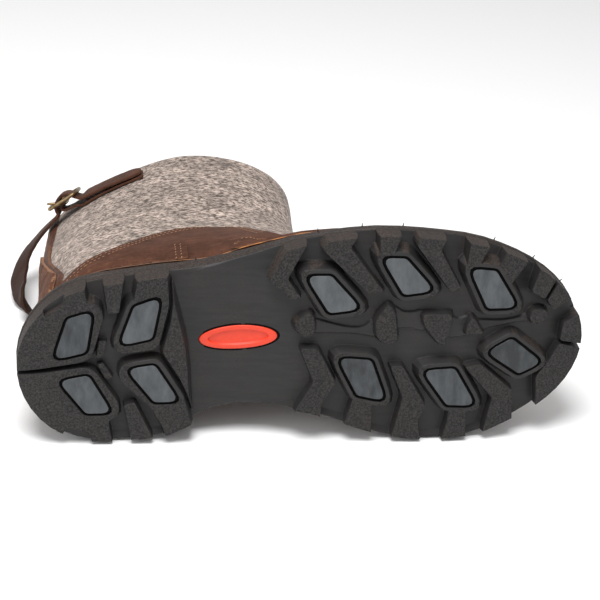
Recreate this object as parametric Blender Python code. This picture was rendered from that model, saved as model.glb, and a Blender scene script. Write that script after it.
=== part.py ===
"""Short felt winter boot for the right foot, lying on its medial side.

Sizes are millimetres in the boot's own frame: x runs from heel to toe, y to the medial side and
z up from the tread. The last section lays the finished boot on the floor.
"""
import math
from collections import namedtuple

import bmesh
import bpy
from mathutils import Matrix, Vector

for old in list(bpy.data.objects):
    bpy.data.objects.remove(old, do_unlink=True)

MM = 0.001
GAP = 0.3
LATERAL = -1
MEDIAL = 1


def mix(a, b, t):
    return a + (b - a) * t


def ease(start, end, at):
    t = min(1.0, max(0.0, (at - start) / (end - start)))
    return t * t * (3.0 - 2.0 * t)


def through(rows, column, at, key=None):
    """Smooth curve through one column of a table, over its key column or its row number."""
    keys = [getattr(row, key) if key else number for number, row in enumerate(rows)]
    values = [getattr(row, column) for row in rows]
    last = len(rows) - 1
    at = min(keys[last], max(keys[0], at))
    low = 0
    while low < last - 1 and keys[low + 1] <= at:
        low += 1

    def slope(i):
        before = max(0, i - 1)
        after = min(last, i + 1)
        return (values[after] - values[before]) / (keys[after] - keys[before])

    span = keys[low + 1] - keys[low]
    t = (at - keys[low]) / span
    rise = values[low + 1] - values[low]
    bend_in = span * slope(low) - rise
    bend_out = rise - span * slope(low + 1)
    return values[low] + rise * t + t * (1.0 - t) * (bend_in * (1.0 - t) + bend_out * t)


def solid(name, points, faces):
    """Closed mesh object from millimetre points, all faces as triangles facing out."""
    mesh = bpy.data.meshes.new(name)
    mesh.from_pydata([Vector(p) * MM for p in points], [], faces)
    body = bmesh.new()
    body.from_mesh(mesh)
    bmesh.ops.triangulate(body, faces=body.faces[:])
    bmesh.ops.recalc_face_normals(body, faces=body.faces[:])
    body.to_mesh(mesh)
    body.free()
    thing = bpy.data.objects.new(name, mesh)
    bpy.context.scene.collection.objects.link(thing)
    return thing


def loft(name, loops, across=False):
    """Solid through loops of equal count; across closes the ends in strips from side to side."""
    count = len(loops[0])
    points = [p for loop in loops for p in loop]
    faces = []
    for low in range(len(loops) - 1):
        for i in range(count):
            j = (i + 1) % count
            faces.append((low * count + i, low * count + j, (low + 1) * count + j, (low + 1) * count + i))
    for start in (0, (len(loops) - 1) * count):
        if not across:
            faces.append(tuple(range(start, start + count)))
            continue
        for i in range(count // 2):
            strip = (i, i + 1, count - i - 1, (count - i) % count)
            faces.append(tuple(start + k for k in dict.fromkeys(strip)))
    return solid(name, points, faces)


def combine(body, other, how):
    """Boolean of two solids; the second one is used up."""
    step = body.modifiers.new("combine", "BOOLEAN")
    step.operation = how
    step.solver = "EXACT"
    step.object = other
    bpy.context.view_layer.update()
    graph = bpy.context.evaluated_depsgraph_get()
    made = bpy.data.meshes.new_from_object(body.evaluated_get(graph))
    body.modifiers.clear()
    body.data = made
    bpy.data.objects.remove(other, do_unlink=True)
    return body


def simplify(thing, degrees):
    """Merge flat neighbouring faces left by the booleans, then return to triangles."""
    body = bmesh.new()
    body.from_mesh(thing.data)
    bmesh.ops.remove_doubles(body, verts=body.verts[:], dist=0.02 * MM)
    bmesh.ops.dissolve_limit(
        body, angle_limit=math.radians(degrees), verts=body.verts[:], edges=body.edges[:])
    bmesh.ops.triangulate(body, faces=body.faces[:])
    body.to_mesh(thing.data)
    body.free()


def grow(corners, by):
    """Corners of a convex outline moved out by a distance; negative moves in."""
    moved = []
    for i, here in enumerate(corners):
        before = Vector(corners[i - 1])
        after = Vector(corners[(i + 1) % len(corners)])
        one = (Vector(here) - before).normalized()
        two = (after - Vector(here)).normalized()
        out_one = Vector((one.y, -one.x))
        out_two = Vector((two.y, -two.x))
        away = (out_one + out_two) / (1.0 + out_one.dot(out_two))
        moved.append(tuple(Vector(here) + away * by))
    return moved


def rounded(corners, reach, steps=2, even=False):
    """Outline with each corner turned into a short curve; even makes the reach a radius instead."""
    loop = []
    for i, here in enumerate(corners):
        here = Vector(here)
        before = Vector(corners[i - 1]) - here
        after = Vector(corners[(i + 1) % len(corners)]) - here
        away = reach / math.tan(before.angle(after) / 2.0) if even else reach
        start = here + before * min(0.45, away / before.length)
        end = here + after * min(0.45, away / after.length)
        for k in range(steps + 1):
            t = k / steps
            loop.append(tuple(start * (1 - t) ** 2 + here * 2 * t * (1 - t) + end * t * t))
    return loop


# Sole outline. One row per station along the foot gives the middle line and half width; the heel and
# toe ends are closed with elliptic caps.
LENGTH = 302.0
HEEL_BACK = -2.0
HEEL_CAP = 45.0
TOE_CAP = 68.0
SOLE_STEPS = 36

Station = namedtuple("Station", "x middle half")
OUTLINE = [
    Station(-2, 2.0, 44.0),
    Station(45, 0.2, 45.2),
    Station(75, -1.2, 45.8),
    Station(92, -5.0, 42.5),
    Station(110, -8.0, 42.0),
    Station(128, -9.5, 44.0),
    Station(145, -10.0, 47.5),
    Station(160, -8.0, 51.5),
    Station(175, -5.0, 55.5),
    Station(192, -1.5, 58.8),
    Station(215, 2.0, 59.3),
    Station(238, 4.5, 57.0),
    Station(265, 6.5, 52.5),
    Station(302, 11.5, 51.0),
]

# Heights of the sole. The tread lies on z = 0 from heel to ball and lifts at both ends.
SPRING = 12.0
SPRING_FROM = 215.0
HEEL_BEVEL = 2.5
HEEL_BEVEL_LENGTH = 16.0
GROOVE_DEPTH = 6.0
ARCH_RISE = 3.5
HEEL_TOP = 20.0
BALL_TOP = 17.0
RAND_HEIGHT = 5.0
GROOVE_INSET = 3.2
ARCH_INSET = 1.2
MEDIAL_RIM = 2.6
MEDIAL_RIM_DROP = 3.0
GROOVE_SLOPE = 18.0
LATERAL_DEPTH = 4.2


def sole_middle(x):
    return through(OUTLINE, "middle", x, "x")


def sole_half(x, inset=0.0, back=HEEL_BACK):
    span = LENGTH - back
    along = (x - back - inset) / (span - 2.0 * inset) * span
    cap = 1.0
    if along < HEEL_CAP:
        cap = math.sqrt(max(0.0, 1.0 - (1.0 - along / HEEL_CAP) ** 2))
    if along > span - TOE_CAP:
        cap = math.sqrt(max(0.0, 1.0 - (1.0 - (span - along) / TOE_CAP) ** 2))
    return cap * (through(OUTLINE, "half", x, "x") - inset)


def toe_spring(x):
    return SPRING * (max(0.0, x - SPRING_FROM) / (LENGTH - SPRING_FROM)) ** 2


def arch(x):
    return ease(72.0, 92.0, x) * (1.0 - ease(108.0, 150.0, x))


def base_z(x):
    return toe_spring(x) + GROOVE_DEPTH + ARCH_RISE * arch(x)


def sole_top(x):
    return toe_spring(x) + mix(HEEL_TOP, BALL_TOP, ease(90.0, 185.0, x))


def sole_loop(inset, height, waist_inset=None, medial=(0.0, 0.0), lateral=(0.0, 0.0)):
    """Loop round the sole: lateral side from heel to toe, then medial side back.

    The waist can have its own inset, and each side can move out and up from the loop away from it.
    """
    loop = []
    for i in range(2 * SOLE_STEPS):
        side = LATERAL if i <= SOLE_STEPS else MEDIAL
        share = (1.0 - math.cos(math.pi * i / SOLE_STEPS)) / 2.0
        x = mix(HEEL_BACK + inset, LENGTH - inset, share)
        half = sole_half(x, inset)
        cap = half / (through(OUTLINE, "half", x, "x") - inset)
        z = height(x)
        if waist_inset is not None:
            half += (inset - waist_inset) * arch(x)
        out, rise = medial if side == MEDIAL else lateral
        half += out * cap * (1.0 - arch(x))
        z += rise * cap * (1.0 - arch(x))
        loop.append((x, sole_middle(x) + side * half, z))
    return loop


def sole_body():
    """Rubber base. The grooves deepen up to the rand on the lateral side and rise to a rim on the medial."""
    return loft("outsole", [
        sole_loop(GROOVE_INSET + 1.0, base_z, ARCH_INSET + 1.0, lateral=(-GROOVE_SLOPE, 0.0)),
        sole_loop(
            GROOVE_INSET, lambda x: base_z(x) + 1.0, ARCH_INSET,
            medial=(MEDIAL_RIM, -MEDIAL_RIM_DROP), lateral=(GROOVE_INSET - 1.0, LATERAL_DEPTH)),
        sole_loop(
            GROOVE_INSET - 0.4, lambda x: sole_top(x) - RAND_HEIGHT - 0.8, ARCH_INSET - 0.4,
            medial=(MEDIAL_RIM - 0.4, 0.0), lateral=(GROOVE_INSET - 1.1, 0.6)),
        sole_loop(0.4, lambda x: sole_top(x) - RAND_HEIGHT),
        sole_loop(0.0, lambda x: sole_top(x) - RAND_HEIGHT + 1.0),
        sole_loop(0.5, lambda x: sole_top(x) - 0.7),
        sole_loop(1.2, sole_top),
    ], across=True)


# Lugs. Each forefoot lug is an outline on the tread whose outer corners run out past the edge and are
# trimmed to the sole's outline. Heel blocks sit in the heel's own frame and are mirrored across its
# middle line.
Lug = namedtuple("Lug", "low reach spread corners")
LUGS = [
    Lug(0.0, 1.4, 0.9, ((142.1, -28.4), (131.4, -40.4), (148.4, -66.0), (157.6, -68.0), (141.0, -40.2),
                        (147.7, -28.7))),
    Lug(0.0, 1.4, 0.9, ((182.8, -28.6), (159.6, -54.9), (171.6, -68.0), (185.3, -70.0), (174.0, -54.8),
                        (191.3, -28.2))),
    Lug(0.0, 1.4, 0.9, ((195.0, -44.0), (189.0, -44.0), (190.1, -70.0), (205.2, -70.0), (196.6, -49.2))),
    Lug(0.0, 1.4, 0.9, ((226.7, -25.2), (208.5, -53.3), (219.3, -70.0), (233.0, -70.0), (221.0, -49.5),
                        (232.2, -25.9))),
    Lug(0.0, 1.4, 0.9, ((241.0, -36.0), (234.5, -36.0), (239.3, -66.0), (256.4, -64.0), (243.1, -41.6))),
    Lug(0.0, 1.4, 0.9, ((257.0, -23.4), (250.0, -32.0), (268.9, -63.5), (281.8, -52.7))),
    Lug(0.0, 1.4, 0.7, ((278.5, -14.4), (270.8, -19.9), (282.4, -47.3), (294.3, -39.0))),
    Lug(0.0, 1.4, 0.5, ((283.8, -7.2), (280.1, -13.3), (297.4, -38.0), (311.1, -19.5))),
    Lug(0.0, 1.4, 0.5, ((288.2, 11.6), (289.8, 1.7), (310.2, -4.3), (309.8, 19.2))),
    Lug(0.0, 1.4, 0.5, ((281.4, 23.0), (288.0, 13.4), (316.0, 26.2), (316.0, 60.0), (275.4, 68.0),
                        (274.5, 31.0))),
    Lug(0.0, 1.4, 0.9, ((234.4, 19.2), (243.1, 18.4), (261.1, 36.8), (260.8, 70.0), (241.5, 70.0),
                        (249.6, 39.2))),
    Lug(0.0, 1.4, 0.9, ((226.0, 36.0), (234.4, 38.0), (234.8, 70.0), (218.6, 70.0), (224.6, 49.7))),
    Lug(0.0, 1.4, 0.9, ((193.8, 14.6), (200.3, 14.9), (212.7, 40.0), (208.1, 48.0), (210.4, 70.0),
                        (190.1, 70.0), (200.2, 33.5))),
    Lug(0.0, 1.4, 0.9, ((174.5, 28.0), (183.4, 31.0), (182.0, 66.0), (161.9, 65.0))),
    Lug(0.0, 1.4, 0.9, ((146.2, 0.0), (155.5, 0.7), (164.4, 21.7), (156.2, 33.0), (154.3, 50.0),
                        (133.9, 48.0), (152.4, 19.7))),
    Lug(0.8, 2.4, 1.8, ((143.4, -13.2), (146.1, -16.7), (151.7, -19.6), (153.8, -17.8), (154.5, -9.1),
                        (150.5, -5.4), (146.5, -7.8))),
    Lug(0.8, 2.4, 1.8, ((186.5, -12.7), (193.4, -20.9), (196.7, -17.4), (198.0, 1.3), (190.1, 1.4),
                        (186.5, -3.8))),
    Lug(0.8, 2.4, 1.8, ((211.5, -13.3), (227.6, -12.3), (225.6, -1.8), (222.9, 5.4), (219.7, 3.6),
                        (212.2, -7.3))),
    Lug(0.8, 1.2, 1.6, ((234.7, 0.3), (235.2, -4.1), (237.9, -9.0), (239.5, -8.2), (244.3, 0.9))),
    Lug(0.8, 2.0, 1.6, ((270.1, -5.1), (273.2, -8.9), (279.1, -7.9), (281.1, -4.1), (275.2, 0.6),
                        (271.7, -1.4))),
    Lug(4.8, 4.0, 1.0, ((152.0, -15.4), (157.0, -13.5), (170.2, -8.5), (178.3, -7.1), (182.1, -8.3),
                        (185.4, -11.8), (191.0, -8.0), (188.0, -1.0), (181.2, -3.3), (174.6, -4.9),
                        (162.0, -6.2), (151.7, -6.9))),
    Lug(4.8, 4.0, 1.0, ((195.6, -19.0), (199.0, -16.5), (201.7, -14.1), (208.0, -13.6), (212.0, -15.0),
                        (215.2, -8.8), (212.8, -1.8), (206.4, -5.7), (195.4, -5.4))),
    Lug(4.8, 3.0, 1.0, ((225.0, -11.8), (230.0, -7.7), (233.2, -7.6), (237.0, -9.0), (242.0, -1.0),
                        (241.0, 2.6), (232.4, 2.4), (223.3, 2.6))),
    Lug(4.8, 3.0, 1.0, ((239.0, -6.6), (243.6, -5.4), (255.9, -3.5), (265.0, -3.8), (271.0, -5.6),
                        (274.3, -4.0), (272.6, -1.3), (265.0, -1.8), (246.9, -0.7), (242.7, 1.0))),
]

# Short cuts in the back corners of the heel, and how deep they go.
NOTCHES = [
    ((16.5, -30.2), (12.0, -46.0), (30.0, -51.0), (26.0, -35.4)),
    ((20.9, 34.4), (32.6, 37.6), (35.0, 50.0), (14.0, 46.0)),
]
NOTCH_DEPTH = 3.6

HEEL_X = 2.0
HEEL_Y = 1.0
HEEL_TURN = math.radians(-4.2)
HEEL_BLOCKS = [
    ((-8.0, 1.2), (32.0, 1.6), (36.6, 4.2), (46.0, 25.0), (44.8, 32.0), (38.6, 34.0), (39.2, 64.0),
     (-8.0, 64.0)),
    ((48.3, 26.6), (54.0, 26.0), (59.5, 45.0), (62.5, 64.0), (49.5, 64.0)),
    ((51.5, 3.0), (68.0, 2.6), (71.4, 5.0), (79.8, 26.0), (83.0, 64.0), (67.6, 64.0), (66.8, 44.0),
     (62.4, 31.0), (49.0, 12.6), (48.4, 7.0)),
]
HEEL_STUB = ((38.3, 2.0), (41.4, 1.8), (45.2, 10.4), (41.2, 11.2))
HEEL_STUB_LOW = 2.0
BREAST = ((73.2, -1.4), (79.6, -17.0), (82.4, -28.0), (84.0, -10.0), (84.4, 0.0), (84.0, 10.0), (82.4, 28.0),
          (79.6, 17.0), (73.2, 1.4))
BREAST_LOW = 0.6


def heel_plan(u, v):
    """Heel frame to boot frame."""
    c = math.cos(HEEL_TURN)
    s = math.sin(HEEL_TURN)
    return (HEEL_X + u * c - v * s, HEEL_Y + u * s + v * c)


def heel_corners(corners, side):
    loop = [heel_plan(u, v * side) for u, v in corners]
    return loop if side > 0 else loop[::-1]


def lug(corners, low, reach, spread, steps=2, even=False):
    """Lug with a flat face and walls that lean out to the groove floor, standing up into the rand."""
    face = rounded(corners, reach, steps, even)
    floor = rounded(grow(corners, spread), reach + spread, steps, even)
    return loft("lug", [
        [(x, y, toe_spring(x) + low) for x, y in face],
        [(x, y, toe_spring(x) + GROOVE_DEPTH + 0.4) for x, y in floor],
        [(x, y, sole_top(x) - RAND_HEIGHT + 0.5) for x, y in floor],
    ])


def tread_limit():
    """Prism over the sole outline that trims the lugs' outer ends."""
    return loft("limit", [
        sole_loop(1.0, lambda x: -5.0),
        sole_loop(0.35, lambda x: SPRING + HEEL_TOP),
    ])


def heel_bevel():
    """Cutter that rounds the back of the heel up off the floor."""
    xs = [HEEL_BEVEL_LENGTH * (1.0 - i / 5.0) for i in range(7)]
    curve = [(x, HEEL_BEVEL * ((HEEL_BEVEL_LENGTH - x) / HEEL_BEVEL_LENGTH) ** 2) for x in xs]
    outline = curve + [(xs[-1], -HEEL_TOP), (xs[0], -HEEL_TOP)]
    return loft("bevel", [[(x, y, z) for x, z in outline] for y in (-LENGTH, LENGTH)])


# Grip pads: slanted four-cornered inserts, two by two across the heel and the forefoot.
PAD_ROUND = 4.8
PAD_RING = 2.2
PAD_SPREAD = 2.2
PAD_EDGE = 1.1
PAD_EDGE_DEPTH = 0.9
PAD_DEPTH = 2.7

PADS = {
    "fore_pad_lateral_back": ((148.2, -42.5), (164.3, -41.1), (181.4, -18.8), (161.2, -17.9)),
    "fore_pad_lateral_middle": ((187.9, -49.2), (203.4, -47.5), (220.2, -25.8), (200.6, -24.8)),
    "fore_pad_lateral_front": ((234.2, -39.5), (251.6, -35.7), (265.6, -10.4), (245.4, -12.7)),
    "fore_pad_medial_back": ((163.5, 5.2), (184.5, 8.8), (192.9, 36.9), (174.6, 30.9)),
    "fore_pad_medial_middle": ((208.5, 17.2), (229.3, 17.8), (242.7, 44.5), (223.4, 41.6)),
    "fore_pad_medial_front": ((243.7, 11.3), (260.3, 4.0), (280.4, 23.3), (264.4, 28.7)),
    "heel_pad_lateral_back": ((16.3, -3.7), (26.7, -28.8), (42.5, -32.3), (36.3, -7.1)),
    "heel_pad_lateral_front": ((50.4, -8.8), (60.9, -32.6), (77.6, -37.6), (70.6, -11.9)),
    "heel_pad_medial_back": ((17.5, 5.8), (36.1, 3.7), (47.7, 29.3), (31.4, 28.1)),
    "heel_pad_medial_front": ((52.8, 2.2), (70.6, 0.9), (83.3, 26.0), (67.3, 24.9)),
}


def pad_loop(name, by, depth):
    outline = rounded(grow(PADS[name], by), PAD_ROUND + by, 4, True)
    return [(x, y, toe_spring(x) + depth) for x, y in outline]


# Orange plug of the arch: a low oval with a shallow recess in its face.
OVAL_X = 114.4
OVAL_Y = -6.0
OVAL_LENGTH = 41.0
OVAL_WIDTH = 13.4
OVAL_DEPTH = 2.0
OVAL_PROUD = 0.8
OVAL_STEPS = 28


def oval_loop(by, height):
    loop = []
    for i in range(OVAL_STEPS):
        turn = 2.0 * math.pi * i / OVAL_STEPS
        x = OVAL_X + (OVAL_LENGTH / 2.0 + by) * math.cos(turn)
        y = OVAL_Y + (OVAL_WIDTH / 2.0 + by) * math.sin(turn)
        loop.append((x, y, base_z(x) + height))
    return loop


def build_sole():
    outsole = sole_body()
    pieces = list(LUGS)
    for side in (LATERAL, MEDIAL):
        for block, reach, spread in zip(HEEL_BLOCKS, (2.6, 1.0, 2.6), (0.7, 0.7, 1.3)):
            pieces.append(Lug(0.0, reach, spread, heel_corners(block, side)))
        pieces.append(Lug(HEEL_STUB_LOW, 0.6, 0.3, heel_corners(HEEL_STUB, side)))
    pieces.append(Lug(BREAST_LOW, 0.8, 2.0, heel_corners(BREAST, MEDIAL)))
    shapes = [lug(list(corners), low, reach, spread) for low, reach, spread, corners in pieces]
    for name in PADS:
        shapes.append(lug(grow(PADS[name], PAD_RING), 0.0, PAD_ROUND + PAD_RING, PAD_SPREAD, 4, True))
    for shape in shapes:
        combine(outsole, combine(shape, tread_limit(), "INTERSECT"), "UNION")
    combine(outsole, heel_bevel(), "DIFFERENCE")
    for corners in NOTCHES:
        cutter = loft("notch", [[(x, y, z) for x, y in corners] for z in (-HEEL_TOP, NOTCH_DEPTH)])
        combine(outsole, cutter, "DIFFERENCE")
    for name in PADS:
        pocket = loft("pocket", [pad_loop(name, GAP, -2.0), pad_loop(name, GAP, PAD_DEPTH + GAP)])
        combine(outsole, pocket, "DIFFERENCE")
        loft(name, [
            pad_loop(name, 0.0, PAD_DEPTH),
            pad_loop(name, 0.0, PAD_EDGE_DEPTH),
            pad_loop(name, -PAD_EDGE, PAD_EDGE_DEPTH),
            pad_loop(name, -PAD_EDGE - 0.1, 0.0),
        ])
    well = loft("well", [oval_loop(GAP, -4.0), oval_loop(GAP, OVAL_DEPTH + GAP)])
    combine(outsole, well, "DIFFERENCE")
    loft("arch_oval", [
        oval_loop(0.0, OVAL_DEPTH),
        oval_loop(0.0, -OVAL_PROUD + 0.4),
        oval_loop(-0.5, -OVAL_PROUD),
        oval_loop(-2.2, -OVAL_PROUD),
        oval_loop(-2.6, -OVAL_PROUD + 0.6),
    ])
    simplify(outsole, 1.0)
    return outsole


# Upper. One row per ring from the feather line to the collar: where it stands at the back and front,
# how much of the sole's outline it keeps, how far it draws in from that outline at heel and ball, and
# the oval it turns into, with the fullness and offset of that oval's back end.
WALL = 3.4
MEDIAL_DRAW = 4.6
RING_STEPS = 40
LEVEL_STEPS = 19

Ring = namedtuple("Ring", "back_x back_z front_x front_z foot heel_in ball_in oval widest power back_y")
RINGS = [
    Ring(6.0, 20.3, 297.0, 28.0, 1.00, 3.2, 3.6, 44.0, 0.42, 2.2, 0.0),
    Ring(6.4, 29.0, 298.5, 38.0, 1.00, 1.6, 6.5, 44.0, 0.42, 2.2, 0.0),
    Ring(7.4, 39.0, 296.0, 48.5, 1.00, 0.9, 11.0, 44.0, 0.42, 2.2, 0.0),
    Ring(8.6, 49.0, 288.5, 58.0, 0.97, 1.2, 16.5, 44.0, 0.42, 2.2, 0.0),
    Ring(9.6, 59.5, 276.5, 66.0, 0.90, 2.2, 22.0, 43.5, 0.42, 2.2, 0.0),
    Ring(10.1, 71.0, 257.0, 73.0, 0.78, 3.4, 26.0, 42.5, 0.42, 2.2, 0.0),
    Ring(10.2, 84.0, 234.0, 81.0, 0.62, 4.6, 29.0, 41.0, 0.43, 2.15, 0.0),
    Ring(9.8, 97.0, 208.0, 91.5, 0.45, 5.6, 31.0, 39.8, 0.44, 2.1, 0.0),
    Ring(9.2, 111.0, 184.0, 105.0, 0.30, 6.4, 31.0, 39.0, 0.46, 2.0, 0.5),
    Ring(8.6, 127.0, 169.0, 122.0, 0.18, 7.0, 31.0, 38.6, 0.49, 1.9, 1.0),
    Ring(8.2, 145.0, 162.5, 142.0, 0.09, 7.0, 31.0, 38.4, 0.52, 1.8, 1.6),
    Ring(8.2, 164.0, 161.8, 163.0, 0.03, 7.0, 31.0, 38.4, 0.54, 1.7, 2.2),
    Ring(8.7, 186.0, 163.3, 186.0, 0.00, 7.0, 31.0, 38.4, 0.55, 1.6, 2.9),
    Ring(9.3, 209.0, 164.8, 208.0, 0.00, 7.0, 31.0, 38.4, 0.56, 1.5, 3.5),
    Ring(10.2, 232.0, 165.5, 227.0, 0.00, 7.0, 31.0, 38.4, 0.56, 1.45, 4.0),
]
TOP_LEVEL = len(RINGS) - 1
HUG_LEVELS = 5.0
FRONT_POWER = 2.0


def ring(level, column):
    return through(RINGS, column, level)


def upper_point(level, turn):
    """Outer face of the felt: turn 0 is the back, 0.5 the front, the lateral side in between."""
    share = (1.0 - math.cos(2.0 * math.pi * turn)) / 2.0
    side = LATERAL if (turn % 1.0) <= 0.5 else MEDIAL
    back_x = ring(level, "back_x")
    front_x = ring(level, "front_x")
    x = mix(back_x, front_x, share)
    foot_x = share * LENGTH
    draw = mix(ring(level, "heel_in"), ring(level, "ball_in"), ease(0.3, 0.62, share))
    body = sole_half(foot_x, back=0.0)
    whole = through(OUTLINE, "half", foot_x, "x")
    foot_y = sole_middle(foot_x) + side * body * (1.0 - draw / whole)
    if side == MEDIAL:
        foot_y -= body / whole * MEDIAL_DRAW
    widest = ring(level, "widest")
    power = FRONT_POWER
    off = (share - widest) / (1.0 - widest)
    if share < widest:
        power = ring(level, "power")
        off = (widest - share) / widest
    round_off = max(0.0, 1.0 - off ** power) ** (1.0 / power)
    middle = ring(level, "back_y") * (1.0 - ease(0.0, widest, share))
    oval_y = middle + side * ring(level, "oval") * round_off
    y = mix(oval_y, foot_y, ring(level, "foot"))
    line = mix(RINGS[0].back_z, RINGS[0].front_z, share) - GAP
    hug = max(0.0, 1.0 - level / HUG_LEVELS)
    z = mix(ring(level, "back_z"), ring(level, "front_z"), share) + hug * (sole_top(x) - line)
    return Vector((x, y, z))


def upper_normal(level, turn):
    step = 0.02
    low = max(0.0, level - step)
    high = min(TOP_LEVEL, level + step)
    up = upper_point(high, turn) - upper_point(low, turn)
    round_ = upper_point(level, turn + 0.004) - upper_point(level, turn - 0.004)
    return round_.cross(up).normalized()


FELT = [
    [upper_point(TOP_LEVEL * i / LEVEL_STEPS, j / RING_STEPS) for j in range(RING_STEPS)]
    for i in range(LEVEL_STEPS + 1)
]


def felt_point(level, turn):
    """Point on the felt's facets, so that what lies on them keeps its gap."""
    row = level / TOP_LEVEL * LEVEL_STEPS
    low = min(int(row), LEVEL_STEPS - 1)
    column = (turn % 1.0) * RING_STEPS
    left = int(column) % RING_STEPS
    right = (left + 1) % RING_STEPS
    below = FELT[low][left].lerp(FELT[low][right], column - int(column))
    above = FELT[low + 1][left].lerp(FELT[low + 1][right], column - int(column))
    return below.lerp(above, row - low)


def off_upper(level, turn, by):
    return felt_point(level, turn) + upper_normal(level, turn) * by


def level_at(turn, z):
    """Level of the ring that passes height z at this turn."""
    low = 0.0
    high = float(TOP_LEVEL)
    for _ in range(24):
        half = (low + high) / 2.0
        if felt_point(half, turn).z < z:
            low = half
        else:
            high = half
    return (low + high) / 2.0


def wall_inner(level, turn):
    """Inner face of the felt; the feather line and the collar keep a level edge."""
    normal = upper_normal(level, turn)
    if level <= 0.0 or level >= TOP_LEVEL:
        normal = Vector((normal.x, normal.y, 0.0)).normalized()
    return upper_point(level, turn) - normal * WALL


def build_upper():
    levels = [TOP_LEVEL * i / LEVEL_STEPS for i in range(LEVEL_STEPS + 1)]
    turns = [i / RING_STEPS for i in range(RING_STEPS)]
    loops = [list(row) for row in FELT]
    loops += [[wall_inner(level, turn) for turn in turns] for level in reversed(levels)]
    count = RING_STEPS
    points = [p for loop in loops for p in loop]
    faces = []
    for low in range(len(loops)):
        high = (low + 1) % len(loops)
        for i in range(count):
            j = (i + 1) % count
            faces.append((low * count + i, low * count + j, high * count + j, high * count + i))
    return solid("upper", points, faces)


INSOLE_THICK = 4.0
INSOLE_INSET = 13.0
INSOLE_MEDIAL = 6.0


def build_insole():
    def loop(inset, rise):
        made = []
        for x, y, z in sole_loop(inset, lambda x: sole_top(x) + rise):
            middle = sole_middle(x)
            if y > middle:
                y = middle + (y - middle) * (1.0 - INSOLE_MEDIAL / sole_half(LENGTH / 2.0))
            made.append((x, y, z))
        return made
    return loft("insole", [
        loop(INSOLE_INSET, GAP),
        loop(INSOLE_INSET + 1.5, GAP + INSOLE_THICK),
    ], across=True)


# Leather overlays. Each is cut out of a thin shell that follows the felt facet by facet, so a layer
# keeps its gap to what it lies on.
SKIN = 1.5
FIRST_LAYER = GAP
SECOND_LAYER = GAP + SKIN + GAP
SOLE_CLEAR = 0.8
TOE_CLEAR = 1.6
REACH = 90.0

Edge = namedtuple("Edge", "x top")
PANEL_TOP = [
    Edge(25.6, 34.1),
    Edge(34, 41.0),
    Edge(46, 46.5),
    Edge(58, 55.0),
    Edge(73, 66.5),
    Edge(90, 74.5),
    Edge(110, 82.0),
    Edge(124, 78.0),
    Edge(131, 60.0),
    Edge(136, 44.0),
    Edge(142, 27.0),
    Edge(150, 20.0),
]
HEEL_GUARD_TOP = [Edge(29, 25.0), Edge(45, 30.5), Edge(56, 33.2), Edge(72, 36.8), Edge(91.5, 40.0)]
TOE_GUARD_TOP = [
    Edge(114, 22.5),
    Edge(116, 28.5),
    Edge(120, 33.0),
    Edge(125, 31.0),
    Edge(130, 25.0),
    Edge(142, 23.0),
    Edge(220, 24.5),
    Edge(305, 39.0),
]

Width = namedtuple("Width", "z half")
STAY_WIDTH = [
    Width(21.5, 34.4),
    Width(39, 36.0),
    Width(52, 34.2),
    Width(65, 30.2),
    Width(105, 18.6),
    Width(130, 14.4),
    Width(160, 12.0),
    Width(192, 9.5),
    Width(226, 8.0),
]
PATCH_WIDTH = [
    Width(21.5, 32.4),
    Width(37, 34.4),
    Width(50, 33.2),
    Width(65, 29.4),
    Width(85, 23.0),
    Width(105, 17.4),
    Width(125, 12.0),
    Width(145, 8.0),
    Width(157, 4.0),
]
MEDIAL_SHARE = 0.86


def shell(name, inner, first, last, top):
    """Shell of one leather thickness over facets first to last round and 0 to top up the felt."""
    wide = last - first + 1
    tall = top + 1
    places = []
    for j in range(first, last + 1):
        places += [(TOP_LEVEL * i / LEVEL_STEPS, j / RING_STEPS) for i in range(tall)]
    points = [off_upper(level, turn, inner(level, turn)) for level, turn in places]
    points += [off_upper(level, turn, inner(level, turn) + SKIN) for level, turn in places]
    shift = wide * tall
    faces = []
    for i in range(wide - 1):
        for j in range(tall - 1):
            a = i * tall + j
            faces.append((a, a + 1, a + tall + 1, a + tall))
            faces.append((a + shift, a + tall + shift, a + tall + 1 + shift, a + 1 + shift))
    rim = [i * tall for i in range(wide)]
    rim += [(wide - 1) * tall + j for j in range(1, tall)]
    rim += [i * tall + tall - 1 for i in range(wide - 2, -1, -1)]
    rim += list(range(tall - 2, 0, -1))
    for k, a in enumerate(rim):
        b = rim[(k + 1) % len(rim)]
        faces.append((a, b, b + shift, a + shift))
    return solid(name, points, faces)


def side_shape(table, clear, start, end, steps=20):
    """Cutter seen from the side: from just above the sole up to the table's edge."""
    xs = [mix(table[0].x, table[-1].x, i / steps) for i in range(steps + 1)]
    low = [(x, sole_top(x) + clear) for x in xs]
    top = [(x, max(sole_top(x) + clear + 0.8, through(table, "top", x, "x"))) for x in reversed(xs)]
    return loft("shape", [[(x, y, z) for x, z in low + top] for y in (start, end)])


def back_shape(table, steps=14):
    """Cutter seen from behind: wide at the sole and narrow above, round the felt's back line."""
    zs = [mix(table[0].z, table[-1].z, i / steps) for i in range(steps + 1)]
    left = []
    right = []
    for z in zs:
        half = through(table, "half", z, "z")
        middle = felt_point(level_at(0.0, z), 0.0).y
        left.append((middle - half, z))
        right.append((middle + half * MEDIAL_SHARE, z))
    outline = left + right[::-1]
    return loft("shape", [[(x, y, z) for y, z in outline] for x in (-REACH, HEEL_CAP)])


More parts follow.
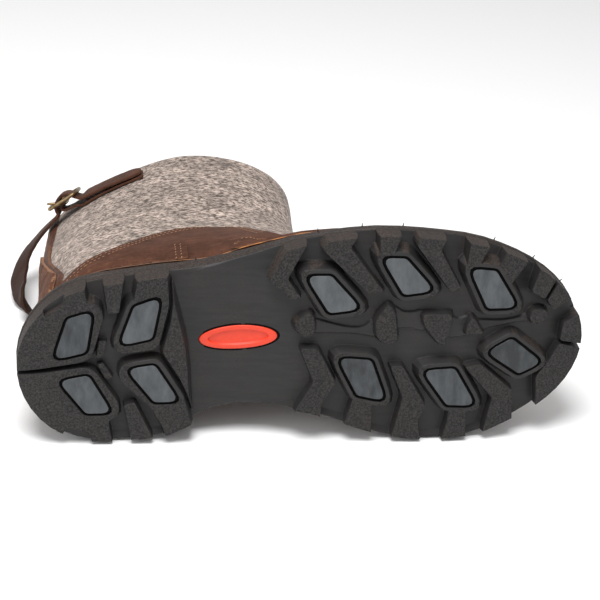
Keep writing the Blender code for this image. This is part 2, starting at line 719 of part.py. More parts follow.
def build_leather():
    flat = RING_STEPS // 2
    for side_name, side in (("lateral", LATERAL), ("medial", MEDIAL)):
        near = min(0.0, side * REACH)
        far = max(0.0, side * REACH)
        first = 2 if side == LATERAL else RING_STEPS - flat + 4
        last = flat - 4 if side == LATERAL else RING_STEPS - 2
        panel = shell("side_panel_" + side_name, lambda level, turn: FIRST_LAYER, first, last, 7)
        combine(panel, side_shape(PANEL_TOP, SOLE_CLEAR, near, far), "INTERSECT")
        guard = shell("heel_guard_" + side_name, lambda level, turn: SECOND_LAYER, first, last, 4)
        combine(guard, side_shape(HEEL_GUARD_TOP, SOLE_CLEAR, near, far, 10), "INTERSECT")

    def toe_inner(level, turn):
        return mix(SECOND_LAYER, FIRST_LAYER, ease(152.0, 172.0, felt_point(level, turn).x))

    toe = shell("toe_guard", toe_inner, flat // 2 - 3, RING_STEPS - flat // 2 + 3, 3)
    combine(toe, side_shape(TOE_GUARD_TOP, TOE_CLEAR, -REACH, REACH, 28), "INTERSECT")
    stay = shell("heel_stay", lambda level, turn: FIRST_LAYER, -8, 8, LEVEL_STEPS)
    combine(stay, back_shape(STAY_WIDTH), "INTERSECT")
    patch = shell("heel_patch", lambda level, turn: SECOND_LAYER, -8, 8, LEVEL_STEPS)
    combine(patch, back_shape(PATCH_WIDTH), "INTERSECT")
    for name in ("side_panel_lateral", "side_panel_medial", "heel_guard_lateral", "heel_guard_medial",
                 "toe_guard", "heel_stay", "heel_patch"):
        simplify(bpy.data.objects[name], 1.2)


# Strap and buckle. The strap starts on the medial side, hangs loose round the back, runs under, over
# and under the buckle's three bars and lies on the chape with its tip free.
STRAP_Z = 203.0
STRAP_WIDTH = 16.0
STRAP_THICK = 2.2
CHAPE_WIDTH = 15.0
CHAPE_THICK = 1.6
BAND_GAP = 0.5
BUCKLE_TURN = 0.107
BUCKLE_OFF = 10.0
BUCKLE_SWING = math.radians(3.0)
BUCKLE_LEAN = math.radians(-12.0)
BUCKLE_LENGTH = 21.0
BUCKLE_WIDTH = 21.5
BUCKLE_CORNER = 5.0
BUCKLE_WIRE = 1.3
BAR_DROP = 2.4
PRONG = 1.0
PRONG_REACH = 1.1

Spot = namedtuple("Spot", "x y z")
Loose = namedtuple("Loose", "x y z lean")
LOOSE = [
    Loose(26.0, 32.6, 139.0, 0.0),
    Loose(11.5, 30.8, 141.0, 4.0),
    Loose(-1.8, 28.1, 143.0, 15.0),
    Loose(-6.1, 25.3, 150.0, 16.0),
    Loose(-8.7, 22.8, 158.0, 16.5),
    Loose(-10.0, 20.7, 166.0, 16.5),
    Loose(-10.4, 17.8, 174.0, 16.5),
    Loose(-9.8, 15.2, 181.0, 16.0),
    Loose(-7.9, 11.1, 187.0, 12.0),
    Loose(-4.0, 6.0, 192.0, 4.0),
    Loose(1.2, 0.9, 196.0, -5.0),
    Loose(7.5, -4.8, 199.5, -9.0),
]
SEWN_START = 0.80
SEWN_END = 0.85
SEWN_Z = 138.0
SEWN_LEAVE = 1.0
TIP_START = 0.142
TIP_END = 0.219
TIP_LEAVE = 1.2
CHAPE_START = 0.126


def beside(turn, z, off):
    return Vector(off_upper(level_at(turn, z), turn, off))


def along_felt(start, end, steps, z, off, leave=0.0):
    """Points beside the felt at one height with the felt's own upward direction, leaving it at the end."""
    made = []
    for i in range(steps + 1):
        turn = mix(start, end, i / steps)
        up = beside(turn, z + STRAP_WIDTH / 2.0, off) - beside(turn, z - STRAP_WIDTH / 2.0, off)
        made.append((beside(turn, z, off + leave * (i / steps) ** 2), up.normalized()))
    return made


def buckle_frame():
    """Middle of the buckle with the directions along the strap, across it and out of the boot."""
    middle = beside(BUCKLE_TURN, STRAP_Z, BUCKLE_OFF)
    along = beside(BUCKLE_TURN + 0.02, STRAP_Z, 0.0) - beside(BUCKLE_TURN - 0.02, STRAP_Z, 0.0)
    along = Vector((along.x, along.y, 0.0)).normalized()
    along.rotate(Matrix.Rotation(BUCKLE_SWING, 3, "Z"))
    across = Vector((0.0, 0.0, 1.0))
    across.rotate(Matrix.Rotation(BUCKLE_LEAN, 3, along))
    return middle, along, across, along.cross(across)


def smooth_path(spots, between):
    """Smooth points along (place, up) pairs."""
    places = [Spot(*place) for place, up in spots]
    ups = [Spot(*up) for place, up in spots]
    path = []
    for i in range((len(spots) - 1) * between + 1):
        place = Vector([through(places, axis, i / between) for axis in "xyz"])
        path.append((place, Vector([through(ups, axis, i / between) for axis in "xyz"])))
    return path


def band(name, path, width, thick, tip=0):
    """Flat strap along a path of (place, up) pairs; the last tip sections round off."""
    loops = []
    for i, (point, up) in enumerate(path):
        run = (path[min(i + 1, len(path) - 1)][0] - path[max(i - 1, 0)][0]).normalized()
        up = (up - run * up.dot(run)).normalized()
        out = run.cross(up)
        left = len(path) - 1 - i
        half = width / 2.0
        if left < tip:
            half *= math.sqrt(1.0 - (1.0 - (left + 0.4) / (tip + 0.4)) ** 2)
        loops.append([
            point + up * half - out * thick / 2.0,
            point + up * half + out * thick / 2.0,
            point - up * half + out * thick / 2.0,
            point - up * half - out * thick / 2.0,
        ])
    return loft(name, loops)


def rod(name, path, radius, sides, closed=False):
    """Round wire along a path."""
    loops = []
    count = len(path)
    side = None
    for i, point in enumerate(path):
        ahead = path[(i + 1) % count] if closed else path[min(i + 1, count - 1)]
        behind = path[i - 1] if closed else path[max(i - 1, 0)]
        run = (ahead - behind).normalized()
        if side is None:
            side = run.orthogonal().normalized()
        side = (side - run * side.dot(run)).normalized()
        other = run.cross(side)
        ring_points = []
        for k in range(sides):
            turn = 2.0 * math.pi * k / sides
            ring_points.append(point + (side * math.cos(turn) + other * math.sin(turn)) * radius)
        loops.append(ring_points)
    if not closed:
        return loft(name, loops)
    points = [p for loop in loops for p in loop]
    faces = []
    for i in range(count):
        for k in range(sides):
            m = (k + 1) % sides
            j = (i + 1) % count
            faces.append((i * sides + k, i * sides + m, j * sides + m, j * sides + k))
    return solid(name, points, faces)


def build_strap():
    middle, along, across, out = buckle_frame()
    half = BUCKLE_LENGTH / 2.0
    under = BUCKLE_WIRE + GAP + STRAP_THICK / 2.0 + 0.8
    wrap = BUCKLE_WIRE + GAP + CHAPE_THICK / 2.0
    over = wrap + CHAPE_THICK / 2.0 + GAP + STRAP_THICK / 2.0 + 0.5 - BAR_DROP
    side = BUCKLE_WIDTH / 2.0
    corners = [(-half, -side), (half, -side), (half, side), (-half, side)]
    loop = [middle + along * u + across * v for u, v in rounded(corners, BUCKLE_CORNER, 3)]
    buckle = rod("buckle", loop, BUCKLE_WIRE, 7, closed=True)
    bar = middle - out * BAR_DROP
    turned = side - BUCKLE_WIRE
    ends = [middle - across * side, bar - across * turned, bar + across * turned, middle + across * side]
    combine(buckle, rod("bar", ends, BUCKLE_WIRE - 0.1, 8), "UNION")

    strap = along_felt(SEWN_START, SEWN_END, 6, SEWN_Z, BAND_GAP + STRAP_THICK / 2.0, SEWN_LEAVE)
    for spot in LOOSE:
        lean = math.radians(spot.lean)
        strap.append((Vector(spot[:3]), Vector((-math.sin(lean), 0.0, math.cos(lean)))))
    for share, off in ((-0.85, -under - 3.0), (-0.68, -under), (-0.56, -0.4), (-0.15, over - 0.3),
                       (0.2, over), (0.55, 0.6), (0.95, -under - 1.6)):
        strap.append((middle + along * half * share + out * off, across))
    lying = BAND_GAP + CHAPE_THICK + GAP + STRAP_THICK / 2.0 + 0.3
    strap += along_felt(TIP_END, TIP_START, 6, STRAP_Z, lying, TIP_LEAVE)[::-1]
    collar_strap = band("collar_strap", smooth_path(strap, 2), STRAP_WIDTH, STRAP_THICK, 3)

    chape = along_felt(TIP_END, CHAPE_START, 8, STRAP_Z, BAND_GAP + CHAPE_THICK / 2.0)
    for share, off in ((0.45, 7.0), (0.1, 6.4), (-0.27, 5.6), (-0.37, 3.9)):
        chape.append((middle + along * half * share - out * off, across))
    for degrees in (0, 40, 80, 120):
        turn = math.radians(degrees)
        chape.append((bar - along * wrap * math.cos(turn) + out * wrap * math.sin(turn), across))
    chape_band = band("chape", smooth_path(chape, 2), CHAPE_WIDTH, CHAPE_THICK)

    start = bar - along * (BUCKLE_WIRE + GAP)
    rest = middle - along * half + out * (BUCKLE_WIRE + GAP + PRONG + 0.3)
    end = start + (rest - start) * PRONG_REACH
    for body in (collar_strap, chape_band):
        combine(body, rod("hole", [start + along * 0.2, end], PRONG + GAP, 10), "DIFFERENCE")
    rod("prong", [start, end], PRONG, 8)


build_sole()
build_upper()
build_insole()
build_leather()
build_strap()

# Lying attitude. The floor touches the medial edge of the heel, of the ball and the side of the
# shaft; its slope is worked out from whichever points stand lowest in those three zones.
HEEL_END = 110.0
BALL_START = 150.0
SHAFT_START = 120.0


def lowest(points, slope_x, slope_z):
    return max(points, key=lambda p: p.y - slope_x * p.x - slope_z * p.z)


def lay_down():
    made = [thing for thing in bpy.data.objects if thing.type == "MESH"]
    sole = [v.co / MM for v in bpy.data.objects["outsole"].data.vertices]
    felt = [v.co / MM for v in bpy.data.objects["upper"].data.vertices]
    heel = [p for p in sole if p.x < HEEL_END]
    ball = [p for p in sole if p.x > BALL_START]
    shaft = [p for p in felt if p.z > SHAFT_START]
    slope_x = 0.0
    slope_z = 0.0
    for _ in range(40):
        a = lowest(heel, slope_x, slope_z)
        b = lowest(ball, slope_x, slope_z)
        c = lowest(shaft, slope_x, slope_z)
        touched = Matrix([(p.x, p.z, 1.0) for p in (a, b, c)])
        plane = touched.inverted() @ Vector((a.y, b.y, c.y))
        slope_x = mix(slope_x, plane.x, 0.6)
        slope_z = mix(slope_z, plane.y, 0.6)
    up = Vector((slope_x, -1.0, slope_z)).normalized()
    ahead = (Vector((1.0, 0.0, 0.0)) - up * up.x).normalized()
    turned = Matrix((ahead, up.cross(ahead), up)).to_4x4()
    laid = [turned @ v.co for thing in made for v in thing.data.vertices]
    low = Vector([min(p[k] for p in laid) for k in range(3)])
    high = Vector([max(p[k] for p in laid) for k in range(3)])
    placed = Matrix.Translation((-(low.x + high.x) / 2.0, -(low.y + high.y) / 2.0, -low.z)) @ turned
    for thing in made:
        thing.data.transform(placed)
    return placed


LAID = lay_down()
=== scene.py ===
import math
import random

import bmesh
import bpy
from mathutils import Matrix, Vector, noise
from mathutils.bvhtree import BVHTree


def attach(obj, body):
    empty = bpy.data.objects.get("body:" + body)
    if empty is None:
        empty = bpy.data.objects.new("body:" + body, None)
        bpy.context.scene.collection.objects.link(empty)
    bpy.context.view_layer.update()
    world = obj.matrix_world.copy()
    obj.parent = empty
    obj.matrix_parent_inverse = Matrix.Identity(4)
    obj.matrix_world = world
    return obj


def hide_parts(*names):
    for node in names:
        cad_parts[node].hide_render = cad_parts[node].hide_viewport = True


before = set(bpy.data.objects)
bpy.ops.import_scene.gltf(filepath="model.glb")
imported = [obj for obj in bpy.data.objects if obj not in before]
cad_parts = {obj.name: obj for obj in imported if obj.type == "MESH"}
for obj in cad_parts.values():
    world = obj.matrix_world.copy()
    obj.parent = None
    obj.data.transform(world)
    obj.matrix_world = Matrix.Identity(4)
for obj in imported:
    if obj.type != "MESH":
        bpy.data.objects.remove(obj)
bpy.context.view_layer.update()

# How the boot lies: on its medial side, tipped so that the sole's edge and the felt both touch the
# floor. Sizes below are millimetres in the boot's own frame: x from heel to toe, y to the medial side
# and z up from the tread. The slopes are the floor's in that frame; the place is in metres.
MM = 0.001
FLOOR_RISE_ALONG = 0.09095
FLOOR_RISE_UP = -0.056585
LYING_PLACE = Vector((-0.144001, -0.114202, 0.042238))

floor_up = Vector((FLOOR_RISE_ALONG, -1.0, FLOOR_RISE_UP)).normalized()
floor_ahead = (Vector((1.0, 0.0, 0.0)) - floor_up * floor_up.x).normalized()
LYING_TURN = Matrix((floor_ahead, floor_up.cross(floor_ahead), floor_up))
LAID = Matrix.Translation(LYING_PLACE) @ LYING_TURN.to_4x4()
TO_FRAME = LAID @ Matrix.Scale(MM, 4)
TO_BOOT = TO_FRAME.inverted()


# Felt upper: grey-beige wool felt about 3.5 mm thick, wrapped round the last and closed at the back
# under the leather stay. Its collar edge is cut raw, and its inside is the boot's plain wool lining.
MERGE = 0.01
JOIN_ANGLE = 0.9
JOIN_SHAPE = 1.6
CREASE_REACH = 3.0
CREASE_END = 0.1
CREASE_LIP = 0.45
CREASE_LIP_FALL = 0.3
FELT_CLUMP = 1.9
FELT_CLOUD = 12.0
FELT_STREAK = 1.2
FELT_LUMP = 0.22
FELT_LUMP_SIZE = 11.0
FELT_ROUNDING = 2
LINING_REACH = 20.0
# Each crease has its start, its end, its width and its depth.
FELT_CREASES = [
    ((128.0, -36.0, 128.0), (168.0, -12.0, 112.0), 5.0, 0.9),
    ((128.0, 36.0, 128.0), (168.0, 12.0, 112.0), 5.0, 0.9),
    ((40.0, -38.0, 141.0), (118.0, -39.0, 136.0), 6.0, 0.5),
    ((30.0, -32.0, 168.0), (96.0, -38.0, 172.0), 6.0, 0.4),
    ((60.0, 38.0, 136.0), (122.0, 38.0, 130.0), 6.0, 0.5),
]


def cad_copy(node):
    """Copy of a CAD node in boot millimetres, its loose triangles merged."""
    shape = bmesh.new()
    shape.from_mesh(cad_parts[node].data)
    bmesh.ops.transform(shape, matrix=TO_BOOT, verts=shape.verts)
    bmesh.ops.remove_doubles(shape, verts=shape.verts, dist=MERGE)
    return shape


def piece(name, shape, finishes, slot, *nodes):
    """Finished piece from a boot-frame bmesh; it rides on the boot and may stand for CAD nodes."""
    bmesh.ops.transform(shape, matrix=TO_FRAME, verts=shape.verts)
    mesh = bpy.data.meshes.new(name)
    for face in shape.faces:
        face.smooth = True
    shape.to_mesh(mesh)
    shape.free()
    thing = bpy.data.objects.new(name, mesh)
    bpy.context.scene.collection.objects.link(thing)
    for material in finishes:
        mesh.materials.append(material)
    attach(thing, "root")
    if nodes:
        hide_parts(*nodes)
    return thing


def rounded_copy(shape, levels):
    """Catmull-Clark version of a bmesh, as a new bmesh."""
    mesh = bpy.data.meshes.new("rounding")
    shape.to_mesh(mesh)
    shape.free()
    thing = bpy.data.objects.new("rounding", mesh)
    bpy.context.scene.collection.objects.link(thing)
    step = thing.modifiers.new("rounding", "SUBSURF")
    step.levels = levels
    step.render_levels = levels
    smooth = bmesh.new()
    smooth.from_object(thing, bpy.context.evaluated_depsgraph_get())
    bpy.data.objects.remove(thing, do_unlink=True)
    bpy.data.meshes.remove(mesh)
    return smooth


def joined(shape):
    """Triangle pairs of a bmesh turned back into four-sided faces."""
    bmesh.ops.join_triangles(
        shape, faces=shape.faces, angle_face_threshold=JOIN_ANGLE, angle_shape_threshold=JOIN_SHAPE)


def crease(shape, start, end, width, depth):
    """Presses a soft trough with a low lip on each side into a surface, along a straight line."""
    shape.normal_update()
    start = Vector(start)
    run = Vector(end) - start
    for vert in shape.verts:
        along = min(1.0, max(0.0, (vert.co - start).dot(run) / run.length_squared))
        off = (vert.co - start - run * along).length / width
        if off < CREASE_REACH:
            ends = math.sin(math.pi * (CREASE_END + (1.0 - 2.0 * CREASE_END) * along))
            trough = math.exp(-off * off) - CREASE_LIP * math.exp(-CREASE_LIP_FALL * off * off)
            vert.co -= vert.normal * depth * ends * trough


def linear(code):
    """sRGB hex colour as linear RGBA."""
    parts = [int(code[i:i + 2], 16) / 255.0 for i in (0, 2, 4)]
    return [c / 12.92 if c <= 0.04045 else ((c + 0.055) / 1.055) ** 2.4 for c in parts] + [1.0]


def add(tree, kind, inputs, **settings):
    """Node with its settings; an input takes a value or another node's socket."""
    node = tree.nodes.new("ShaderNode" + kind)
    for key, value in settings.items():
        setattr(node, key, value)
    for key, value in inputs.items():
        if isinstance(value, bpy.types.NodeSocket):
            tree.links.new(value, node.inputs[key])
        else:
            node.inputs[key].default_value = value
    return node


def finish(name, roughness, ior=1.5, metallic=0.0):
    """New material with its tree, shader and Object coordinates."""
    material = bpy.data.materials.new(name)
    material.use_nodes = True
    tree = material.node_tree
    shader = tree.nodes["Principled BSDF"]
    shader.inputs["Roughness"].default_value = roughness
    shader.inputs["IOR"].default_value = ior
    shader.inputs["Metallic"].default_value = metallic
    place = add(tree, "TexCoord", {}).outputs["Object"]
    return material, tree, shader, place


def felted(name, dark, light, streak):
    """Wool felt: matted fibres of mixed shade that lie mostly round the boot, with a faint nap."""
    material, tree, shader, place = finish(name, 0.95, 1.45)
    shader.inputs["Sheen Weight"].default_value = 0.08
    shader.inputs["Sheen Roughness"].default_value = 0.6
    shader.inputs["Specular IOR Level"].default_value = 0.2
    lie = add(tree, "Mapping", {"Vector": place, "Scale": (0.62, 1.0, 1.0)}).outputs["Vector"]
    long_lie = add(tree, "Mapping", {"Vector": place, "Scale": (0.3, 1.0, 1.0)}).outputs["Vector"]
    # Fibre clumps are about 0.8 mm and single streaks 0.3 mm; both are drawn coarser, to show.
    clump = add(tree, "TexNoise", {
        "Vector": lie, "Scale": 1.0 / (FELT_CLUMP * MM), "Detail": 3.0, "Roughness": 0.72}).outputs["Fac"]
    patch = add(tree, "TexNoise", {
        "Vector": lie, "Scale": 1.0 / (FELT_CLOUD * MM), "Detail": 3.0, "Roughness": 0.5}).outputs["Fac"]
    thread = add(tree, "TexNoise", {
        "Vector": long_lie, "Scale": 1.0 / (FELT_STREAK * MM), "Detail": 1.0}).outputs["Fac"]
    clump_share = add(tree, "MapRange", {
        "Value": clump, "From Min": 0.39, "From Max": 0.6}).outputs["Result"]
    patch_share = add(tree, "MapRange", {
        "Value": patch, "From Min": 0.3, "From Max": 0.68,
        "To Min": 0.26, "To Max": 0.74}).outputs["Result"]
    thread_share = add(tree, "MapRange", {
        "Value": thread, "From Min": 0.55, "From Max": 0.7, "To Max": 0.8}).outputs["Result"]
    wool = add(tree, "Mix", {
        0: clump_share, 6: linear(dark), 7: linear(light)}, data_type="RGBA").outputs[2]
    mottled = add(tree, "Mix", {
        0: 0.7, 6: wool, 7: patch_share}, data_type="RGBA", blend_type="OVERLAY").outputs[2]
    streaked = add(tree, "Mix", {
        0: thread_share, 6: mottled, 7: linear(streak)}, data_type="RGBA").outputs[2]
    rough = add(tree, "Math", {0: clump, 1: thread}, operation="ADD").outputs[0]
    nap = add(tree, "Bump", {"Height": rough, "Strength": 0.5, "Distance": 0.6 * MM}).outputs["Normal"]
    tree.links.new(streaked, shader.inputs["Base Color"])
    tree.links.new(nap, shader.inputs["Normal"])
    return material


wool_felt = felted("wool_felt", "463A32", "BAA99E", "382E28")
wool_lining = felted("wool_lining", "776C62", "BBB0A3", "6B6157")

shape = cad_copy("upper")
felt_facets = BVHTree.FromBMesh(shape)
joined(shape)
shape = rounded_copy(shape, FELT_ROUNDING)
for line in FELT_CREASES:
    crease(shape, *line)
shape.normal_update()
for vert in shape.verts:
    vert.co += vert.normal * FELT_LUMP * noise.noise(vert.co / FELT_LUMP_SIZE)
shape.normal_update()
felt_face = BVHTree.FromBMesh(shape)
for face in shape.faces:
    middle = face.calc_center_median()
    inside = felt_face.ray_cast(middle + face.normal, face.normal)[0]
    if inside is not None and (inside - middle).length > LINING_REACH:
        face.material_index = 1
piece("felt_upper", shape, [wool_felt, wool_lining], "felt", "upper")


# Insole: a footbed of darker sheet felt, cut with a soft edge. It lies loose on the sole inside the
# boot and is seen only down through the collar.
INSOLE_FLAT = 2.0
INSOLE_RIM = 0.7
INSOLE_EDGE = 0.8


def flattened(shape, degrees):
    """Joins the faces that meet at less than an angle in degrees."""
    limit = math.radians(degrees)
    bmesh.ops.dissolve_limit(shape, angle_limit=limit, verts=shape.verts, edges=shape.edges)


def bent_edges(shape, angle):
    """Edges whose two faces meet at more than an angle in radians."""
    return [edge for edge in shape.edges if edge.is_manifold and edge.calc_face_angle() > angle]


def eased(shape, edges, radius, segments, slide=False):
    """Small radius on the given edges."""
    bmesh.ops.bevel(
        shape, geom=edges, offset=radius, offset_type="OFFSET", affect="EDGES", segments=segments,
        profile=0.5, material=-1, clamp_overlap=True, loop_slide=slide)


insole_felt = felted("insole_felt", "3F3935", "6B635B", "332E2B")
shape = cad_copy("insole")
flattened(shape, INSOLE_FLAT)
eased(shape, bent_edges(shape, INSOLE_RIM), INSOLE_EDGE, 3)
bmesh.ops.triangulate(shape, faces=shape.faces)
piece("footbed", shape, [insole_felt], "insole_felt", "insole")


# Leather overlays: oiled brown cowhide about 1.5 mm thick, sewn to the felt round the foot and up the
# back. It has a fine tight grain, paler pulls where it bends, and raw cut edges.
CUT_RADIUS = 0.35
CUT_RIM = 0.9
CUT_FACE = 0.6
LEATHER_FLAT = 1.0
LEATHER_CLOUD = 13.0
LEATHER_PEBBLE = 1.1
LEATHER_SPECK = 1.6
LEATHER_PULL = 2.6
LEATHER_LUMP = 0.16
LEATHER_LUMP_SIZE = 7.0
SPLIT_ROUNDS = 7
TUCK = 3.2
TUCK_SINK = 0.9
TUCK_FROM = 42.0
TUCK_FULL = 27.0
LEATHER_CREASES = {
    "side_panel_lateral": [
        ((60.0, -44.0, 47.0), (92.0, -46.0, 62.0), 1.6, 0.4),
        ((84.0, -45.0, 52.0), (120.0, -46.0, 64.0), 1.4, 0.35),
        ((98.0, -46.0, 44.0), (126.0, -48.0, 52.0), 1.2, 0.3),
    ],
    "heel_guard_lateral": [
        ((42.0, -43.0, 24.0), (66.0, -46.0, 33.0), 1.2, 0.3),
        ((62.0, -45.0, 24.0), (84.0, -46.0, 36.0), 1.2, 0.3),
    ],
    "heel_patch": [
        ((9.0, -22.0, 96.0), (15.0, -31.0, 26.0), 2.2, 1.3),
        ((8.0, -13.0, 110.0), (9.0, -19.0, 24.0), 2.6, 1.2),
        ((7.0, -4.0, 92.0), (7.0, -7.0, 24.0), 2.4, 0.6),
        ((8.0, 9.0, 84.0), (9.0, 14.0, 26.0), 2.6, 0.7),
        ((7.0, -10.0, 62.0), (12.0, -27.0, 52.0), 2.0, 0.5),
    ],
    "heel_stay": [
        ((9.0, -12.0, 132.0), (9.0, 10.0, 128.0), 2.4, 0.5),
        ((8.5, -10.0, 158.0), (8.5, 10.0, 162.0), 2.2, 0.35),
    ],
}


def fade(start, end, at):
    """Smooth step from 0 at the start to 1 at the end."""
    t = min(1.0, max(0.0, (at - start) / (end - start)))
    return t * t * (3.0 - 2.0 * t)


def tanned(name, dark, light, pull, cut, gloss, wrinkle, lie=(0.16, 1.0, 1.0)):
    """Oiled leather: soft clouds of shade, fine pebbled grain and pale stretched lines."""
    material, tree, shader, place = finish(name, gloss, 1.5)
    shader.inputs["Specular IOR Level"].default_value = 0.14
    cloud = add(tree, "TexNoise", {
        "Vector": place, "Scale": 1.0 / (LEATHER_CLOUD * MM), "Detail": 4.0,
        "Roughness": 0.6}).outputs["Fac"]
    # Grain pebbles are about 0.5 mm; drawn at 1.1 mm so that they show in the picture.
    pebble = add(tree, "TexVoronoi", {
        "Vector": place, "Scale": 1.0 / (LEATHER_PEBBLE * MM), "Randomness": 1.0},
        feature="F1").outputs["Distance"]
    speck = add(tree, "TexNoise", {
        "Vector": place, "Scale": 1.0 / (LEATHER_SPECK * MM), "Detail": 3.0,
        "Roughness": 0.7}).outputs["Fac"]
    bent = add(tree, "Mapping", {
        "Vector": place, "Rotation": (0.0, 0.35, 0.25), "Scale": lie}).outputs["Vector"]
    line = add(tree, "TexNoise", {
        "Vector": bent, "Scale": 1.0 / (LEATHER_PULL * MM), "Detail": 2.0,
        "Distortion": 0.4}).outputs["Fac"]
    cut_share = add(tree, "Attribute", {}, attribute_name="cut").outputs["Fac"]
    cloud_share = add(tree, "MapRange", {
        "Value": cloud, "From Min": 0.33, "From Max": 0.67}).outputs["Result"]
    speck_share = add(tree, "MapRange", {
        "Value": speck, "From Min": 0.35, "From Max": 0.65,
        "To Min": 0.35, "To Max": 0.65}).outputs["Result"]
    line_share = add(tree, "MapRange", {
        "Value": line, "From Min": 0.6, "From Max": 0.7, "To Max": wrinkle}).outputs["Result"]
    hide = add(tree, "Mix", {
        0: cloud_share, 6: linear(dark), 7: linear(light)}, data_type="RGBA").outputs[2]
    grained = add(tree, "Mix", {
        0: 0.5, 6: hide, 7: speck_share}, data_type="RGBA", blend_type="OVERLAY").outputs[2]
    pulled = add(tree, "Mix", {
        0: line_share, 6: grained, 7: linear(pull)}, data_type="RGBA").outputs[2]
    edged = add(tree, "Mix", {
        0: cut_share, 6: pulled, 7: linear(cut)}, data_type="RGBA").outputs[2]
    relief = add(tree, "Math", {0: pebble, 1: speck}, operation="ADD").outputs[0]
    soft_edge = add(tree, "Bevel", {"Radius": CUT_RADIUS * MM}, samples=4).outputs["Normal"]
    deep = add(tree, "Math", {0: line, 1: -2.0, 2: relief}, operation="MULTIPLY_ADD").outputs[0]
    grain = add(tree, "Bump", {
        "Height": deep, "Strength": 0.3, "Distance": 0.35 * MM, "Normal": soft_edge}).outputs["Normal"]
    tree.links.new(edged, shader.inputs["Base Color"])
    tree.links.new(grain, shader.inputs["Normal"])
    return material


oiled_leather = tanned("oiled_leather", "3F2519", "533325", "745038", "6A4631", 0.6, 0.3)
# On the heel patch the pale lines run up and down and are strong: partly the leather's pull, partly
# painted highlights for the light on its soft vertical folds.
patch_leather = tanned(
    "creased_leather", "42271B", "64402D", "966C50", "88644D", 0.8, 0.75, lie=(1.0, 0.16, 1.0))
# Each layer has its node, its leather and the longest edge of its mesh.
LEATHER_LAYERS = [
    ("side_panel_lateral", oiled_leather, 2.2),
    ("side_panel_medial", oiled_leather, 3.0),
    ("heel_guard_lateral", oiled_leather, 2.0),
    ("heel_guard_medial", oiled_leather, 3.0),
    ("toe_guard", oiled_leather, 3.0),
    ("heel_stay", oiled_leather, 2.2),
    ("heel_patch", patch_leather, 1.6),
]


def refined(shape, longest):
    """Long edges split until none is longer than asked."""
    bmesh.ops.triangulate(shape, faces=shape.faces)
    for _ in range(SPLIT_ROUNDS):
        long_edges = [edge for edge in shape.edges if edge.calc_length() > longest]
        if not long_edges:
            break
        bmesh.ops.subdivide_edges(shape, edges=long_edges, cuts=1)
        bmesh.ops.triangulate(shape, faces=[face for face in shape.faces if len(face.verts) > 3])


def on_felt(shape):
    """Moves a layer from the felt's flat facets to its smooth face, keeping its height above it.

    Vertices on the cut edges between the two faces of the layer are marked in the cut attribute.
    """
    for vert in shape.verts:
        foot, normal, _, _ = felt_facets.find_nearest(vert.co)
        height = (vert.co - foot).dot(normal)
        seat, out, _, _ = felt_face.find_nearest(vert.co)
        vert.co = seat + out * height
    shape.normal_update()
    cut = shape.verts.layers.float.new("cut")
    for face in shape.faces:
        _, out, _, _ = felt_face.find_nearest(face.calc_center_median())
        if abs(face.normal.dot(out)) < CUT_FACE:
            for vert in face.verts:
                vert[cut] = 1.0


def tucked(shape):
    """Slides the rear end of a side panel along the felt, in under the edge of the back stay."""
    for vert in shape.verts:
        pull = fade(TUCK_FROM, TUCK_FULL, vert.co.x)
        if pull > 0.0:
            foot, out, _, _ = felt_face.find_nearest(vert.co)
            height = (vert.co - foot).dot(out)
            seat, out, _, _ = felt_face.find_nearest(vert.co - Vector((TUCK * pull, 0.0, 0.0)))
            vert.co = seat + out * (height - TUCK_SINK * pull)


leather_faces = {}
for node, material, longest in LEATHER_LAYERS:
    shape = cad_copy(node)
    flattened(shape, LEATHER_FLAT)
    eased(shape, bent_edges(shape, CUT_RIM), CUT_RADIUS, 2)
    refined(shape, longest)
    on_felt(shape)
    if node.startswith("side_panel"):
        tucked(shape)
    for line in LEATHER_CREASES.get(node, []):
        crease(shape, *line)
    shape.normal_update()
    for vert in shape.verts:
        vert.co += vert.normal * LEATHER_LUMP * noise.noise(vert.co / LEATHER_LUMP_SIZE)
    bmesh.ops.recalc_face_normals(shape, faces=shape.faces)
    leather_faces[node] = BVHTree.FromBMesh(shape)
    piece(node + "_leather", shape, [material], "brown_leather", node)


# Seams: bonded tan thread in short lockstitches, two rows under the top edge of each side panel, two
# rows across the front end of each heel guard, one behind the toe guard's rear arc and one up each
# edge of the back stay.
LATERAL = -1
MEDIAL = 1
OUTSIDE = 150.0
BEHIND = -80.0
STITCH_LENGTH = 1.6
STITCH_PITCH = 2.5
STITCH_WIDE = 0.6
STITCH_HIGH = 0.48
STITCH_PROUD = 0.1
THREAD_TWIST = 0.8
# Each edge is a line of points, seen from the side as x and z.
PANEL_EDGE = [
    (25.6, 34.1), (34.0, 41.0), (46.0, 46.5), (58.0, 55.0), (73.0, 66.5), (90.0, 74.5), (110.0, 82.0),
    (124.0, 78.0), (131.0, 60.0), (136.0, 44.0)]
PANEL_ROWS = (3.4, 6.6)
GUARD_ROWS = (88.2, 85.4)
GUARD_LOW = 22.0
GUARD_HIGH = 38.0
GUARD_PITCH = 2.9
GUARD_LEAN = Vector((0.3, 0.0, 1.0))
TOE_ARC = [(116.5, 26.0), (118.0, 30.0), (121.0, 31.6), (125.0, 29.6), (129.0, 24.6)]
# The stay is seen from behind: distance from its middle line, and z.
STAY_MIDDLE = 2.0
STAY_EDGE = [(13.4, 45.0), (11.4, 105.0), (9.6, 130.0), (7.6, 160.0), (5.6, 190.0), (4.6, 222.0)]

# Bonded thread: dull, with its twist showing as small steps of tan.
thread, tree, shader, place = finish("tan_thread", 0.7)
twist = add(tree, "TexNoise", {
    "Vector": place, "Scale": 1.0 / (THREAD_TWIST * MM), "Detail": 2.0}).outputs["Fac"]
tone = add(tree, "Mix", {
    0: twist, 6: linear("6A4936"), 7: linear("A67C5B")}, data_type="RGBA").outputs[2]
tree.links.new(tone, shader.inputs["Base Color"])


